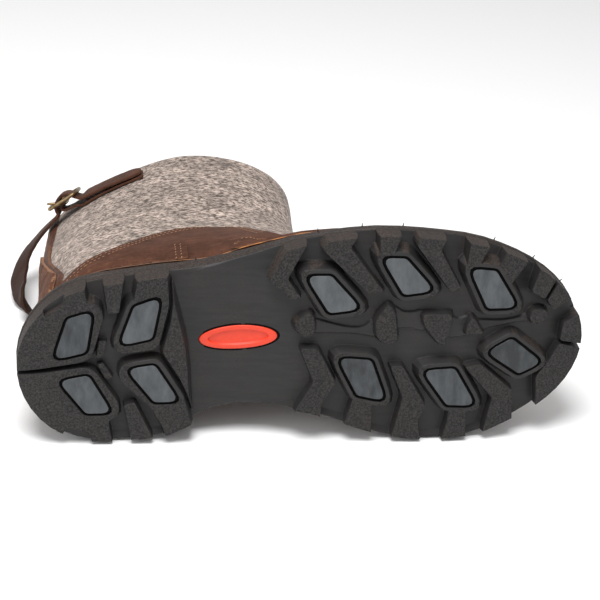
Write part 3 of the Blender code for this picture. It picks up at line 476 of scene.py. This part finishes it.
def walk(points, step, inset=0.0):
    """Points spaced along a line of flat points, moved to the right of its run by an inset."""
    made = []
    spare = 0.0
    for a, b in zip(points, points[1:]):
        a = Vector(a)
        run = Vector(b) - a
        along = spare
        while along < run.length:
            ahead = run.normalized()
            made.append((a + ahead * along + Vector((ahead.y, -ahead.x)) * inset, ahead))
            along += step
        spare = along - run.length
    return made


def stitch(shape, face, start, aim, ahead):
    """One stitch on the first face that a line from outside the boot meets."""
    seat, out, _, _ = face.ray_cast(start, aim)
    if seat is None:
        return
    out = out if out.dot(aim) < 0.0 else -out
    ahead = (ahead - out * ahead.dot(out)).normalized()
    size = Matrix.Diagonal((STITCH_LENGTH, STITCH_WIDE, STITCH_HIGH, 1.0))
    turn = Matrix((ahead, out.cross(ahead), out)).transposed().to_4x4()
    poles_along = Matrix.Rotation(math.pi / 2.0, 4, "Y")
    bmesh.ops.create_uvsphere(
        shape, u_segments=8, v_segments=5, radius=0.5,
        matrix=Matrix.Translation(seat + out * STITCH_PROUD) @ turn @ size @ poles_along)


seams = bmesh.new()
for side, name in ((LATERAL, "lateral"), (MEDIAL, "medial")):
    aim = Vector((0.0, -side, 0.0))
    panel = leather_faces["side_panel_" + name]
    guard = leather_faces["heel_guard_" + name]
    for inset in PANEL_ROWS:
        for point, ahead in walk(PANEL_EDGE, STITCH_PITCH, inset):
            start = Vector((point.x, side * OUTSIDE, point.y))
            stitch(seams, panel, start, aim, Vector((ahead.x, 0.0, ahead.y)))
    for x in GUARD_ROWS:
        for point, _ in walk([(x, GUARD_LOW), (x, GUARD_HIGH)], GUARD_PITCH):
            start = Vector((point.x, side * OUTSIDE, point.y))
            stitch(seams, guard, start, aim, GUARD_LEAN)
    for point, ahead in walk(TOE_ARC, STITCH_PITCH):
        start = Vector((point.x, side * OUTSIDE, point.y))
        stitch(seams, leather_faces["toe_guard"], start, aim, Vector((ahead.x, 0.0, ahead.y)))
    for point, ahead in walk(STAY_EDGE, STITCH_PITCH):
        start = Vector((BEHIND, STAY_MIDDLE + side * point.x, point.y))
        rise = Vector((0.0, side * ahead.x, ahead.y))
        stitch(seams, leather_faces["heel_stay"], start, Vector((1.0, 0.0, 0.0)), rise)
piece("thread_seams", seams, [thread], "brown_leather")


# Outsole: one moulded rubber unit with a lugged tread, a smooth arch and a low rand that is cemented
# to the upper. The mould leaves grained lug faces, smooth floors and small radii on every edge.
LUG_RADIUS = 0.9
LUG_FACE = 2.7
LUG_SHARP = 26.0
RING_WIDTH = 2.9
FLANK_SLOPE = 0.75
FLANK_CLEAR = 0.3
RUBBER_PIT = 1.0
RUBBER_BLOOM = 22.0
RUBBER_WIPE = 2.4
SPRING = 12.0
SPRING_FROM = 215.0
SPRING_RUN = 87.0


def tread(x):
    """Height of the tread off the floor, which lifts at the toe."""
    return SPRING * (max(0.0, x - SPRING_FROM) / SPRING_RUN) ** 2


# Moulded rubber: near black, matt and pitted on the lug faces, smoother and wiped on the floors, and
# browned by dust on the outer flanks.
sole_rubber, tree, shader, place = finish("moulded_rubber", 0.6, 1.5)
shader.inputs["Specular IOR Level"].default_value = 0.35
grain_share = add(tree, "Attribute", {}, attribute_name="grain").outputs["Fac"]
flank_share = add(tree, "Attribute", {}, attribute_name="flank").outputs["Fac"]
# The mould's grain is about 0.6 mm; drawn at 1 mm so that it shows in the picture.
pits = add(tree, "TexNoise", {
    "Vector": place, "Scale": 1.0 / (RUBBER_PIT * MM), "Detail": 3.0, "Roughness": 0.75}).outputs["Fac"]
bloom = add(tree, "TexNoise", {
    "Vector": place, "Scale": 1.0 / (RUBBER_BLOOM * MM), "Detail": 5.0, "Roughness": 0.6}).outputs["Fac"]
wiped = add(tree, "Mapping", {"Vector": place, "Scale": (0.12, 1.0, 1.0)}).outputs["Vector"]
wipe = add(tree, "TexNoise", {
    "Vector": wiped, "Scale": 1.0 / (RUBBER_WIPE * MM), "Detail": 3.0}).outputs["Fac"]
wipe_share = add(tree, "MapRange", {
    "Value": wipe, "From Min": 0.35, "From Max": 0.65}).outputs["Result"]
pit_share = add(tree, "MapRange", {
    "Value": pits, "From Min": 0.4, "From Max": 0.62}).outputs["Result"]
bloom_share = add(tree, "MapRange", {
    "Value": bloom, "From Min": 0.45, "From Max": 0.75, "To Max": 0.3}).outputs["Result"]
dust_share = add(tree, "Math", {
    0: flank_share, 1: 0.7, 2: bloom_share}, operation="MULTIPLY_ADD", use_clamp=True).outputs[0]
floors = add(tree, "Mix", {
    0: wipe_share, 6: linear("212020"), 7: linear("272626")}, data_type="RGBA").outputs[2]
faces = add(tree, "Mix", {
    0: pit_share, 6: linear("111010"), 7: linear("353332")}, data_type="RGBA").outputs[2]
dust = add(tree, "Mix", {
    0: pit_share, 6: linear("1E1815"), 7: linear("453933")}, data_type="RGBA").outputs[2]
faced = add(tree, "Mix", {0: grain_share, 6: floors, 7: faces}, data_type="RGBA").outputs[2]
dusted = add(tree, "Mix", {0: dust_share, 6: faced, 7: dust}, data_type="RGBA").outputs[2]
rough_share = add(tree, "Math", {0: grain_share, 1: flank_share}, operation="MAXIMUM").outputs[0]
pitted = add(tree, "Math", {0: pits, 1: rough_share}, operation="MULTIPLY").outputs[0]
worn = add(tree, "Math", {0: wipe, 1: 0.1, 2: pitted}, operation="MULTIPLY_ADD").outputs[0]
soft_edge = add(tree, "Bevel", {"Radius": LUG_RADIUS * MM}, samples=6).outputs["Normal"]
relief = add(tree, "Bump", {
    "Height": worn, "Strength": 0.7, "Distance": 0.6 * MM, "Normal": soft_edge}).outputs["Normal"]
dull = add(tree, "MapRange", {"Value": rough_share, "To Min": 0.5, "To Max": 0.7}).outputs["Result"]
tree.links.new(dusted, shader.inputs["Base Color"])
tree.links.new(relief, shader.inputs["Normal"])
tree.links.new(dull, shader.inputs["Roughness"])


def sharpened(shape, sharp):
    """Keeps edges sharper than an angle in degrees crisp, so that only their shading is rounded."""
    limit = math.radians(sharp)
    for edge in shape.edges:
        edge.smooth = not (edge.is_manifold and edge.calc_face_angle() > limit)


def weigh_normals(thing):
    """Lets the large faces of a piece set the shading of its small ones."""
    step = thing.modifiers.new("weigh", "WEIGHTED_NORMAL")
    step.weight = 100
    step.keep_sharp = True


pads = bmesh.new()
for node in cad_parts:
    if "_pad_" in node:
        pads.from_mesh(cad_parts[node].data)
bmesh.ops.transform(pads, matrix=TO_BOOT, verts=pads.verts)
pad_face = BVHTree.FromBMesh(pads)
pads.free()

shape = cad_copy("outsole")
sole_face = BVHTree.FromBMesh(shape)
sharpened(shape, LUG_SHARP)
shape.normal_update()
grain = shape.faces.layers.float.new("grain")
flank = shape.faces.layers.float.new("flank")
for face in shape.faces:
    high = max(vert.co.z - tread(vert.co.x) for vert in face.verts)
    collar = all(pad_face.find_nearest(vert.co, RING_WIDTH)[0] is not None for vert in face.verts)
    if high < LUG_FACE and not collar:
        face[grain] = 1.0
    level = Vector((face.normal.x, face.normal.y, 0.0))
    if level.length > FLANK_SLOPE:
        middle = face.calc_center_median() + level.normalized() * FLANK_CLEAR
        if sole_face.ray_cast(middle, level)[0] is None:
            face[flank] = 1.0
weigh_normals(piece("lugged_sole", shape, [sole_rubber], "sole_rubber", "outsole"))


# Flash nibs: short hairs of the sole's own rubber, drawn out through the mould's vents and left standing
# along its lateral and toe edge. Each has its place along the boot and its height.
NIBS = [
    (95.3, 18.0), (159.2, 15.5), (182.3, 15.0), (203.8, 15.0), (252.9, 17.3), (275.3, 20.8), (291.6, 24.3)]
NIB_LENGTH = 2.2
NIB_FOOT = 0.4
NIB_TIP = 0.15
NIB_SUNK = 0.3
NIB_LEAN = Vector((0.15, 0.0, 0.1))

nibs = bmesh.new()
for x, z in NIBS:
    seat, out, _, _ = sole_face.ray_cast(Vector((x, LATERAL * OUTSIDE, z)), Vector((0.0, 1.0, 0.0)))
    lean = (out + NIB_LEAN).normalized()
    stand = lean.to_track_quat("Z", "Y").to_matrix().to_4x4()
    bmesh.ops.create_cone(
        nibs, cap_ends=True, segments=6, radius1=NIB_FOOT, radius2=NIB_TIP, depth=NIB_LENGTH,
        matrix=Matrix.Translation(seat + lean * (NIB_LENGTH / 2.0 - NIB_SUNK)) @ stand)
piece("mould_nibs", nibs, [sole_rubber], "sole_rubber")


# Grip pads: ten inserts of a softer grey rubber pressed into pockets in the lugs, each with a sunk step
# round its face that is coloured near black: painted shade for the groove there.
PAD_STEP = 0.45
PAD_FLAT = 0.8
PAD_RIM = math.radians(30.0)
PAD_RADIUS = 0.3
PAD_SMEAR = 5.0
PAD_GRAIN = 1.1
PAD_SHADE_MOTTLE = 3.0
# Painted sheen of each pad: how much lighter its whole grey is painted, for the light that its face
# reflects.
PAD_PAINTED_SHEEN = {
    "heel_pad_lateral_back": 0.36,
    "heel_pad_lateral_front": 0.56,
    "heel_pad_medial_back": 0.5,
    "heel_pad_medial_front": 0.56,
    "fore_pad_lateral_back": 0.72,
    "fore_pad_lateral_middle": 0.64,
    "fore_pad_lateral_front": 0.58,
    "fore_pad_medial_back": 0.34,
    "fore_pad_medial_middle": 0.46,
    "fore_pad_medial_front": 0.3,
}

# Grip rubber: smooth grey with soft pale smears, partly where it has rubbed the ground and partly painted
# sheen. Each pad is also painted lighter or darker as a whole: painted sheen for the light its face
# reflects.
pad_rubber, tree, shader, place = finish("grey_grip_rubber", 0.42, 1.5)
shader.inputs["Specular IOR Level"].default_value = 0.45
brushed = add(tree, "Mapping", {"Vector": place, "Scale": (1.0, 1.0, 0.4)}).outputs["Vector"]
painted_sheen = add(tree, "Attribute", {}, attribute_name="painted_sheen").outputs["Fac"]
smear = add(tree, "TexNoise", {
    "Vector": brushed, "Scale": 1.0 / (PAD_SMEAR * MM), "Detail": 4.0, "Roughness": 0.6}).outputs["Fac"]
fine = add(tree, "TexNoise", {
    "Vector": place, "Scale": 1.0 / (PAD_GRAIN * MM), "Detail": 2.0}).outputs["Fac"]
mixed = add(tree, "Math", {0: smear, 1: painted_sheen}, operation="ADD").outputs[0]
smear_share = add(tree, "MapRange", {
    "Value": mixed, "From Min": 0.72, "From Max": 1.3}).outputs["Result"]
tone = add(tree, "Mix", {
    0: smear_share, 6: linear("1F2326"), 7: linear("53575A")}, data_type="RGBA").outputs[2]
relief = add(tree, "Bump", {"Height": fine, "Strength": 0.25, "Distance": 0.25 * MM}).outputs["Normal"]
sheen = add(tree, "MapRange", {"Value": smear, "To Min": 0.35, "To Max": 0.55}).outputs["Result"]
tree.links.new(tone, shader.inputs["Base Color"])
tree.links.new(relief, shader.inputs["Normal"])
tree.links.new(sheen, shader.inputs["Roughness"])

# Painted groove shade: near black and matt, so that it draws the shade of the grooves round each insert
# and round the arch plug as a dark line.
painted_groove_shade, tree, shader, place = finish("painted_groove_shade", 0.7, 1.5)
shade_mottle = add(tree, "TexNoise", {
    "Vector": place, "Scale": 1.0 / (PAD_SHADE_MOTTLE * MM), "Detail": 2.0}).outputs["Fac"]
tone = add(tree, "Mix", {
    0: shade_mottle, 6: linear("040404"), 7: linear("0A0A0A")}, data_type="RGBA").outputs[2]
shader.inputs["Specular IOR Level"].default_value = 0.08
tree.links.new(tone, shader.inputs["Base Color"])

for node in sorted(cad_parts):
    if "_pad_" not in node:
        continue
    shape = cad_copy(node)
    flattened(shape, PAD_FLAT)
    eased(shape, bent_edges(shape, PAD_RIM), PAD_RADIUS, 2, slide=True)
    bmesh.ops.triangulate(shape, faces=shape.faces)
    bmesh.ops.recalc_face_normals(shape, faces=shape.faces)
    # Each pad carries its painted sheen, which lightens or darkens its grey as a whole.
    sheen_layer = shape.verts.layers.float.new("painted_sheen")
    for vert in shape.verts:
        vert[sheen_layer] = PAD_PAINTED_SHEEN[node]
    # Faces sunk deeper than the step round the pad's face get the painted groove shade.
    for face in shape.faces:
        if max(vert.co.z - tread(vert.co.x) for vert in face.verts) > PAD_STEP:
            face.material_index = 1
    weigh_normals(piece(node + "_rubber", shape, [pad_rubber, painted_groove_shade], "pad_rubber", node))


# Arch plug: a bright orange rubber oval in the waist of the sole, with a plain shallow recess. A thin
# black ring round it is painted shade for the dark groove between the plug and the arch.
PLUG_X = 114.4
PLUG_Y = -6.0
PLUG_LONG = 20.5
PLUG_WIDE = 6.7
PLUG_STEPS = 72
ARCH_FLOOR = 6.0
ARCH_RISE = 3.5
ARCH_FALLS = (108.0, 150.0)
PLUG_CLOUD = 4.0
PLUG_GRAIN = 0.9
# Ovals as half length, half width and height off the arch's floor: the plug's from its hidden foot over
# its rim into the recess, and the painted shade ring's from the plug outwards.
PLUG_RINGS = [
    (PLUG_LONG, PLUG_WIDE, -2.0),
    (PLUG_LONG, PLUG_WIDE, 0.3),
    (PLUG_LONG - 0.15, PLUG_WIDE - 0.15, 0.6),
    (PLUG_LONG - 0.6, PLUG_WIDE - 0.5, 0.8),
    (16.4, 4.6, 0.8),
    (15.9, 4.2, 0.6),
    (15.5, 3.9, -0.3),
    (15.0, 3.5, -0.5),
    (8.0, 1.6, -0.4),
]
GROOVE_SHADE_RINGS = [
    (PLUG_LONG + 0.05, PLUG_WIDE + 0.05, 0.05),
    (PLUG_LONG + 0.3, PLUG_WIDE + 0.3, 0.12),
    (PLUG_LONG + 1.3, PLUG_WIDE + 1.0, 0.12),
    (PLUG_LONG + 1.5, PLUG_WIDE + 1.2, -0.1),
]


def arch_floor(x):
    """Height of the arch's floor above the tread's plane."""
    return ARCH_FLOOR + ARCH_RISE * (1.0 - fade(*ARCH_FALLS, x))


def oval(shape, long, wide, height):
    """Loop of edges on an oval of the arch, at a height off its floor towards the tread."""
    made = bmesh.ops.create_circle(shape, cap_ends=False, segments=PLUG_STEPS, radius=1.0)
    for vert in made["verts"]:
        x = PLUG_X + vert.co.x * long
        vert.co = Vector((x, PLUG_Y + vert.co.y * wide, arch_floor(x) - height))
    return list({edge for vert in made["verts"] for edge in vert.link_edges})


def plug_shape(rings, closed):
    """Surface through a row of ovals, closed across the first and the last one if asked."""
    shape = bmesh.new()
    loops = [oval(shape, *ring) for ring in rings]
    for low, high in zip(loops, loops[1:]):
        bmesh.ops.bridge_loops(shape, edges=low + high)
    if closed:
        bmesh.ops.holes_fill(shape, edges=loops[-1], sides=0)
        bmesh.ops.holes_fill(shape, edges=loops[0], sides=0)
    bmesh.ops.recalc_face_normals(shape, faces=shape.faces)
    return shape


# Orange rubber: bright and clean with a soft gloss and faint clouds of shade.
orange_rubber, tree, shader, place = finish("orange_rubber", 0.42, 1.5)
cloud = add(tree, "TexNoise", {
    "Vector": place, "Scale": 1.0 / (PLUG_CLOUD * MM), "Detail": 3.0}).outputs["Fac"]
tone = add(tree, "Mix", {
    0: cloud, 6: linear("D33016"), 7: linear("E84524")}, data_type="RGBA").outputs[2]
fine = add(tree, "TexNoise", {
    "Vector": place, "Scale": 1.0 / (PLUG_GRAIN * MM), "Detail": 1.0}).outputs["Fac"]
relief = add(tree, "Bump", {"Height": fine, "Strength": 0.2, "Distance": 0.2 * MM}).outputs["Normal"]
tree.links.new(tone, shader.inputs["Base Color"])
tree.links.new(relief, shader.inputs["Normal"])
shape = plug_shape(PLUG_RINGS, True)
weigh_normals(piece("arch_plug", shape, [orange_rubber], "orange_rubber", "arch_oval"))
# Thin black ring round the plug: painted shade for the groove round it.
shape = plug_shape(GROOVE_SHADE_RINGS, False)
piece("plug_groove_shade", shape, [painted_groove_shade], "sole_rubber")


# Feather line: a thin bead where the upper is cemented to the sole, coloured as a painted highlight of the
# lit edge there. It runs all round the boot just above the rand.
BEAD = 0.27
BEAD_LOW = 0.6
BEAD_HIGH = 1.5
BEAD_LIFTS = (90.0, 150.0)
BEAD_EASE = 6
BEAD_GLOW = 9.0
BEAD_DULL = -70.0
BEAD_BRIGHT = -30.0
BEAD_SUNK = 0.1
RAND_INSET = 0.2
RAND_DROP = 6.4
LEATHER_RISE = 2.4
END_REACH = 50.0
FAR_OUT = 200.0
HEEL_MIDDLE = Vector((45.0, 0.0, 0.0))
TOE_MIDDLE = Vector((245.0, 6.0, 0.0))
END_STEPS = 32
SIDE_STEPS = 80
SOLE_HEEL = 20.0
SOLE_BALL = 17.0
SOLE_THINS = (90.0, 185.0)


def sole_top(x):
    """Height of the sole's upper edge, which is lower at the ball and lifts with the toe."""
    return tread(x) + SOLE_HEEL + (SOLE_BALL - SOLE_HEEL) * fade(*SOLE_THINS, x)


def round_end(middle, ahead):
    """Half turn about one end of the sole, as middles with their outward directions."""
    made = []
    for i in range(-END_STEPS, END_STEPS + 1):
        turn = math.pi / 2.0 * i / END_STEPS
        made.append((middle, Vector((ahead * math.cos(turn), -ahead * math.sin(turn), 0.0))))
    return made


def along_side(side):
    """Run from heel to toe along one side of the sole, as middles with their outward directions."""
    made = []
    for i in range(1, SIDE_STEPS):
        x = HEEL_MIDDLE.x + (TOE_MIDDLE.x - HEEL_MIDDLE.x) * i / SIDE_STEPS
        made.append((Vector((x, 0.0, 0.0)), Vector((0.0, side, 0.0))))
    return made


# Bead colour, half glossy: painted highlight, bright orange-brown in clouds, fading to dull brown towards
# the heel.
bead_highlight, tree, shader, place = finish("bead_painted_highlight", 0.45)
glow = add(tree, "TexNoise", {
    "Vector": place, "Scale": 1.0 / (BEAD_GLOW * MM), "Detail": 3.0}).outputs["Fac"]
glow_share = add(tree, "MapRange", {
    "Value": glow, "From Min": 0.38, "From Max": 0.62}).outputs["Result"]
along = add(tree, "SeparateXYZ", {"Vector": place}).outputs["X"]
# Painted highlight: the bead's brightness rises from the heel forward.
highlight_rise = add(tree, "MapRange", {
    "Value": along, "From Min": BEAD_DULL * MM, "From Max": BEAD_BRIGHT * MM}).outputs["Result"]
bright = add(tree, "Math", {0: glow_share, 1: highlight_rise}, operation="MULTIPLY").outputs[0]
tone = add(tree, "Mix", {
    0: bright, 6: linear("5F3E28"), 7: linear("D0843A")}, data_type="RGBA").outputs[2]
tree.links.new(tone, shader.inputs["Base Color"])

seats = round_end(HEEL_MIDDLE, -1.0) + along_side(MEDIAL)
seats += round_end(TOE_MIDDLE, 1.0) + along_side(LATERAL)[::-1]
layers = list(leather_faces.values()) + [felt_face]
bead_points = []
for middle, away in seats:
    reach = 0.0
    level = sole_top(middle.x + away.x * END_REACH) + LEATHER_RISE
    for face in layers:
        seat = face.ray_cast(Vector((middle.x, middle.y, level)) + away * FAR_OUT, -away)[0]
        if seat is not None:
            reach = max(reach, (seat - middle).dot(away))
    start = Vector((middle.x, middle.y, level - RAND_DROP)) + away * FAR_OUT
    edge = sole_face.ray_cast(start, -away)[0]
    spot = middle + away * min(reach - BEAD_SUNK, (edge - middle).dot(away) - RAND_INSET)
    lift = BEAD_LOW + (BEAD_HIGH - BEAD_LOW) * fade(*BEAD_LIFTS, spot.x)
    bead_points.append(Vector((spot.x, spot.y, sole_top(spot.x) + lift)))
for _ in range(BEAD_EASE):
    before = bead_points[-1:] + bead_points[:-1]
    after = bead_points[1:] + bead_points[:1]
    bead_points = [(a + b * 2.0 + c) / 4.0 for a, b, c in zip(before, bead_points, after)]
path = bpy.data.curves.new("feather_bead", "CURVE")
path.dimensions = "3D"
path.bevel_depth = BEAD * MM
path.bevel_resolution = 2
spline = path.splines.new("POLY")
spline.points.add(len(bead_points) - 1)
for knot, point in zip(spline.points, bead_points):
    knot.co = (TO_FRAME @ point).to_4d()
spline.use_cyclic_u = True
path.materials.append(bead_highlight)
bead = bpy.data.objects.new("feather_bead", path)
bpy.context.scene.collection.objects.link(bead)
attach(bead, "root")


# Collar strap and chape: two narrow leather straps round the collar. The long one hangs loose behind
# the boot and passes through the buckle; the short one holds the buckle to the felt.
STRAP_SHADE = 0.9
SHADE_ALONG = (24.0, 4.0)
SHADE_UP = (206.0, 188.0)
STRAP_RIM = 1.1
STRAP_EDGE = 0.35
STRAP_LUMP = 0.12
STRAP_LUMP_SIZE = 2.5
STRAP_ROUNDING = 2

strap_leather = tanned("strap_leather", "40281D", "553628", "6E4B39", "2E1C14", 0.6, 0.25)
for node in ("collar_strap", "chape"):
    shape = cad_copy(node)
    joined(shape)
    eased(shape, bent_edges(shape, STRAP_RIM), STRAP_EDGE, 1)
    shape = rounded_copy(shape, STRAP_ROUNDING)
    # The cut attribute here marks no cut edge: it colours the strap darker behind the heel and below the
    # buckle.
    strap_darkening = shape.verts.layers.float.new("cut")
    for vert in shape.verts:
        vert.co += vert.normal * STRAP_LUMP * noise.noise(vert.co / STRAP_LUMP_SIZE)
        vert[strap_darkening] = STRAP_SHADE * fade(*SHADE_ALONG, vert.co.x) * fade(*SHADE_UP, vert.co.z)
    piece(node + "_leather", shape, [strap_leather], "strap_leather", node)


# Buckle: a rounded frame of bent brass wire with one middle bar, which the chape's fold holds, and a
# loose prong that swings on the bar.
BRASS_RUB = 5.0
BRASS_ROUNDING = 2

# Aged brass: dull brown gold with rubbed, brighter places.
worn_brass, tree, shader, place = finish("worn_brass", 0.36, 1.5, 1.0)
rub = add(tree, "TexNoise", {
    "Vector": place, "Scale": 1.0 / (BRASS_RUB * MM), "Detail": 3.0}).outputs["Fac"]
rub_share = add(tree, "MapRange", {
    "Value": rub, "From Min": 0.4, "From Max": 0.6}).outputs["Result"]
tone = add(tree, "Mix", {
    0: rub_share, 6: linear("6B573E"), 7: linear("A08A68")}, data_type="RGBA").outputs[2]
tree.links.new(tone, shader.inputs["Base Color"])
for node in ("buckle", "prong"):
    shape = cad_copy(node)
    joined(shape)
    shape = rounded_copy(shape, BRASS_ROUNDING)
    piece(node + "_metal", shape, [worn_brass], "brass", node)


# Loose fibres: single wool hairs that wear has worked out of the felt. They lie along it, mostly round
# the boot, or stand off it in low arches.
FIBRES = 1800
FIBRE_SEED = 7
FIBRE_LONG = (2.5, 6.5)
FIBRE_WIDE = 0.17
FIBRE_LEVELS = (24.0, 228.0)
FIBRE_TILT = 0.3
FIBRE_LIFT = (0.1, 0.5)
FIBRE_SHADE = (0.6, 0.3)
FIBRE_CURL = 0.12
FIBRE_CLEAR = 0.08
FIBRE_FROM = 300.0
LEATHER_OVER = 12.0
SHAFT_LEVEL = 100.0
SHAFT_X = 90.0
FOOT_X = 130.0
UP = Vector((0.0, 0.0, 1.0))

# Wool hair: dull, each one of its own shade from dark grey to nearly white.
hair, tree, shader, _ = finish("wool_hair", 0.9, 1.45)
shade = add(tree, "Attribute", {}, attribute_name="shade").outputs["Fac"]
tone = add(tree, "Mix", {
    0: shade, 6: linear("4A403A"), 7: linear("C9BDB2")}, data_type="RGBA").outputs[2]
tree.links.new(tone, shader.inputs["Base Color"])

chance = random.Random(FIBRE_SEED)
hairs = bmesh.new()
shade_layer = hairs.verts.layers.float.new("shade")
for _ in range(FIBRES):
    around = chance.uniform(0.0, 2.0 * math.pi)
    height = chance.uniform(*FIBRE_LEVELS)
    middle = Vector((SHAFT_X if height > SHAFT_LEVEL else FOOT_X, 0.0, height))
    away = Vector((math.cos(around), math.sin(around), 0.0))
    seat, out, _, _ = felt_face.ray_cast(middle + away * FIBRE_FROM, -away)
    if seat is None:
        continue
    if any(face.ray_cast(seat, out, LEATHER_OVER)[0] is not None for face in leather_faces.values()):
        continue
    ahead = (out.cross(UP) + UP * chance.gauss(0.0, FIBRE_TILT)).normalized()
    long = chance.uniform(*FIBRE_LONG)
    lift = chance.uniform(*FIBRE_LIFT)
    paleness = min(1.0, max(0.0, chance.gauss(*FIBRE_SHADE)))
    curl = chance.uniform(-FIBRE_CURL, FIBRE_CURL)
    strip = bmesh.ops.create_grid(hairs, x_segments=4, y_segments=1, size=0.5)["verts"]
    for vert in strip:
        along = vert.co.x * long
        side = vert.co.y * FIBRE_WIDE + curl * along * along
        over = seat + ahead * along + out.cross(ahead) * side
        foot, up, _, _ = felt_face.find_nearest(over)
        vert.co = foot + up * (FIBRE_CLEAR + lift * (1.0 - (2.0 * vert.co.x) ** 2))
        vert[shade_layer] = paleness
piece("loose_fibres", hairs, [hair], "felt")


# Studio: a white paper floor on which only the boot's soft shadow shows, an even white surround, two
# large soft lights, one above and one low at the left, and the camera at the photograph's angle.
FLOOR_HALF = 6.0
FLOOR_DROP = 0.0002
PHOTO_SIDE = 600.0
FOCAL = 1500.0
AIM = Vector((150.0, 0.0, 60.0))
VIEW_OFFSET = Vector((-3.1, 2.1, 840.2))
VIEW_YAW = -6.0
VIEW_PITCH = 23.39
VIEW_ROLL = -2.19
SENSOR = 36.0
LENS_NEAR = 0.01
SURROUND = 0.6
# Each light has its place, the point that it faces, its width and its power.
LIGHTS = {
    "overhead": ((-0.2, -0.45, 1.25), (0.0, 0.0, 0.0), 0.7, 17.0),
    "left_front": ((-1.5, -0.9, 0.9), (0.0, 0.0, 0.05), 0.6, 4.0),
}

# White paper: matt, so that it mirrors nothing and keeps the shadow's edge soft.
paper, _, shader, _ = finish("white_paper", 0.9)
shader.inputs["Base Color"].default_value = linear("F6F6F6")
shape = bmesh.new()
bmesh.ops.create_grid(shape, x_segments=1, y_segments=1, size=FLOOR_HALF)
bmesh.ops.translate(shape, verts=shape.verts, vec=(0.0, 0.0, -FLOOR_DROP))
mesh = bpy.data.meshes.new("floor")
shape.to_mesh(mesh)
shape.free()
mesh.materials.append(paper)
floor = bpy.data.objects.new("floor", mesh)
bpy.context.scene.collection.objects.link(floor)

world = bpy.data.worlds.new("surround")
world.use_nodes = True
world.node_tree.nodes["Background"].inputs["Color"].default_value = (1.0, 1.0, 1.0, 1.0)
world.node_tree.nodes["Background"].inputs["Strength"].default_value = SURROUND
bpy.context.scene.world = world

for name, (place, aim, size, power) in LIGHTS.items():
    lamp = bpy.data.lights.new(name, "AREA")
    lamp.shape = "DISK"
    lamp.size = size
    lamp.energy = power
    thing = bpy.data.objects.new(name, lamp)
    thing.location = place
    thing.rotation_euler = (Vector(aim) - Vector(place)).to_track_quat("-Z", "Y").to_euler()
    bpy.context.scene.collection.objects.link(thing)

view_turn = (
    Matrix.Rotation(math.radians(VIEW_ROLL), 3, "Z")
    @ Matrix.Rotation(math.radians(VIEW_PITCH), 3, "X")
    @ Matrix.Rotation(math.radians(VIEW_YAW), 3, "Y"))
eye = AIM - view_turn.transposed() @ VIEW_OFFSET
right, down, forward = view_turn
stand = Matrix((right, -down, -forward)).transposed().to_4x4()
stand.translation = eye * MM
lens = bpy.data.cameras.new("camera")
lens.sensor_width = SENSOR
lens.lens = FOCAL / PHOTO_SIDE * SENSOR
lens.clip_start = LENS_NEAR
camera = bpy.data.objects.new("camera", lens)
camera.matrix_world = LAID @ stand
bpy.context.scene.collection.objects.link(camera)
bpy.context.scene.camera = camera
bpy.context.scene.view_settings.view_transform = "Standard"
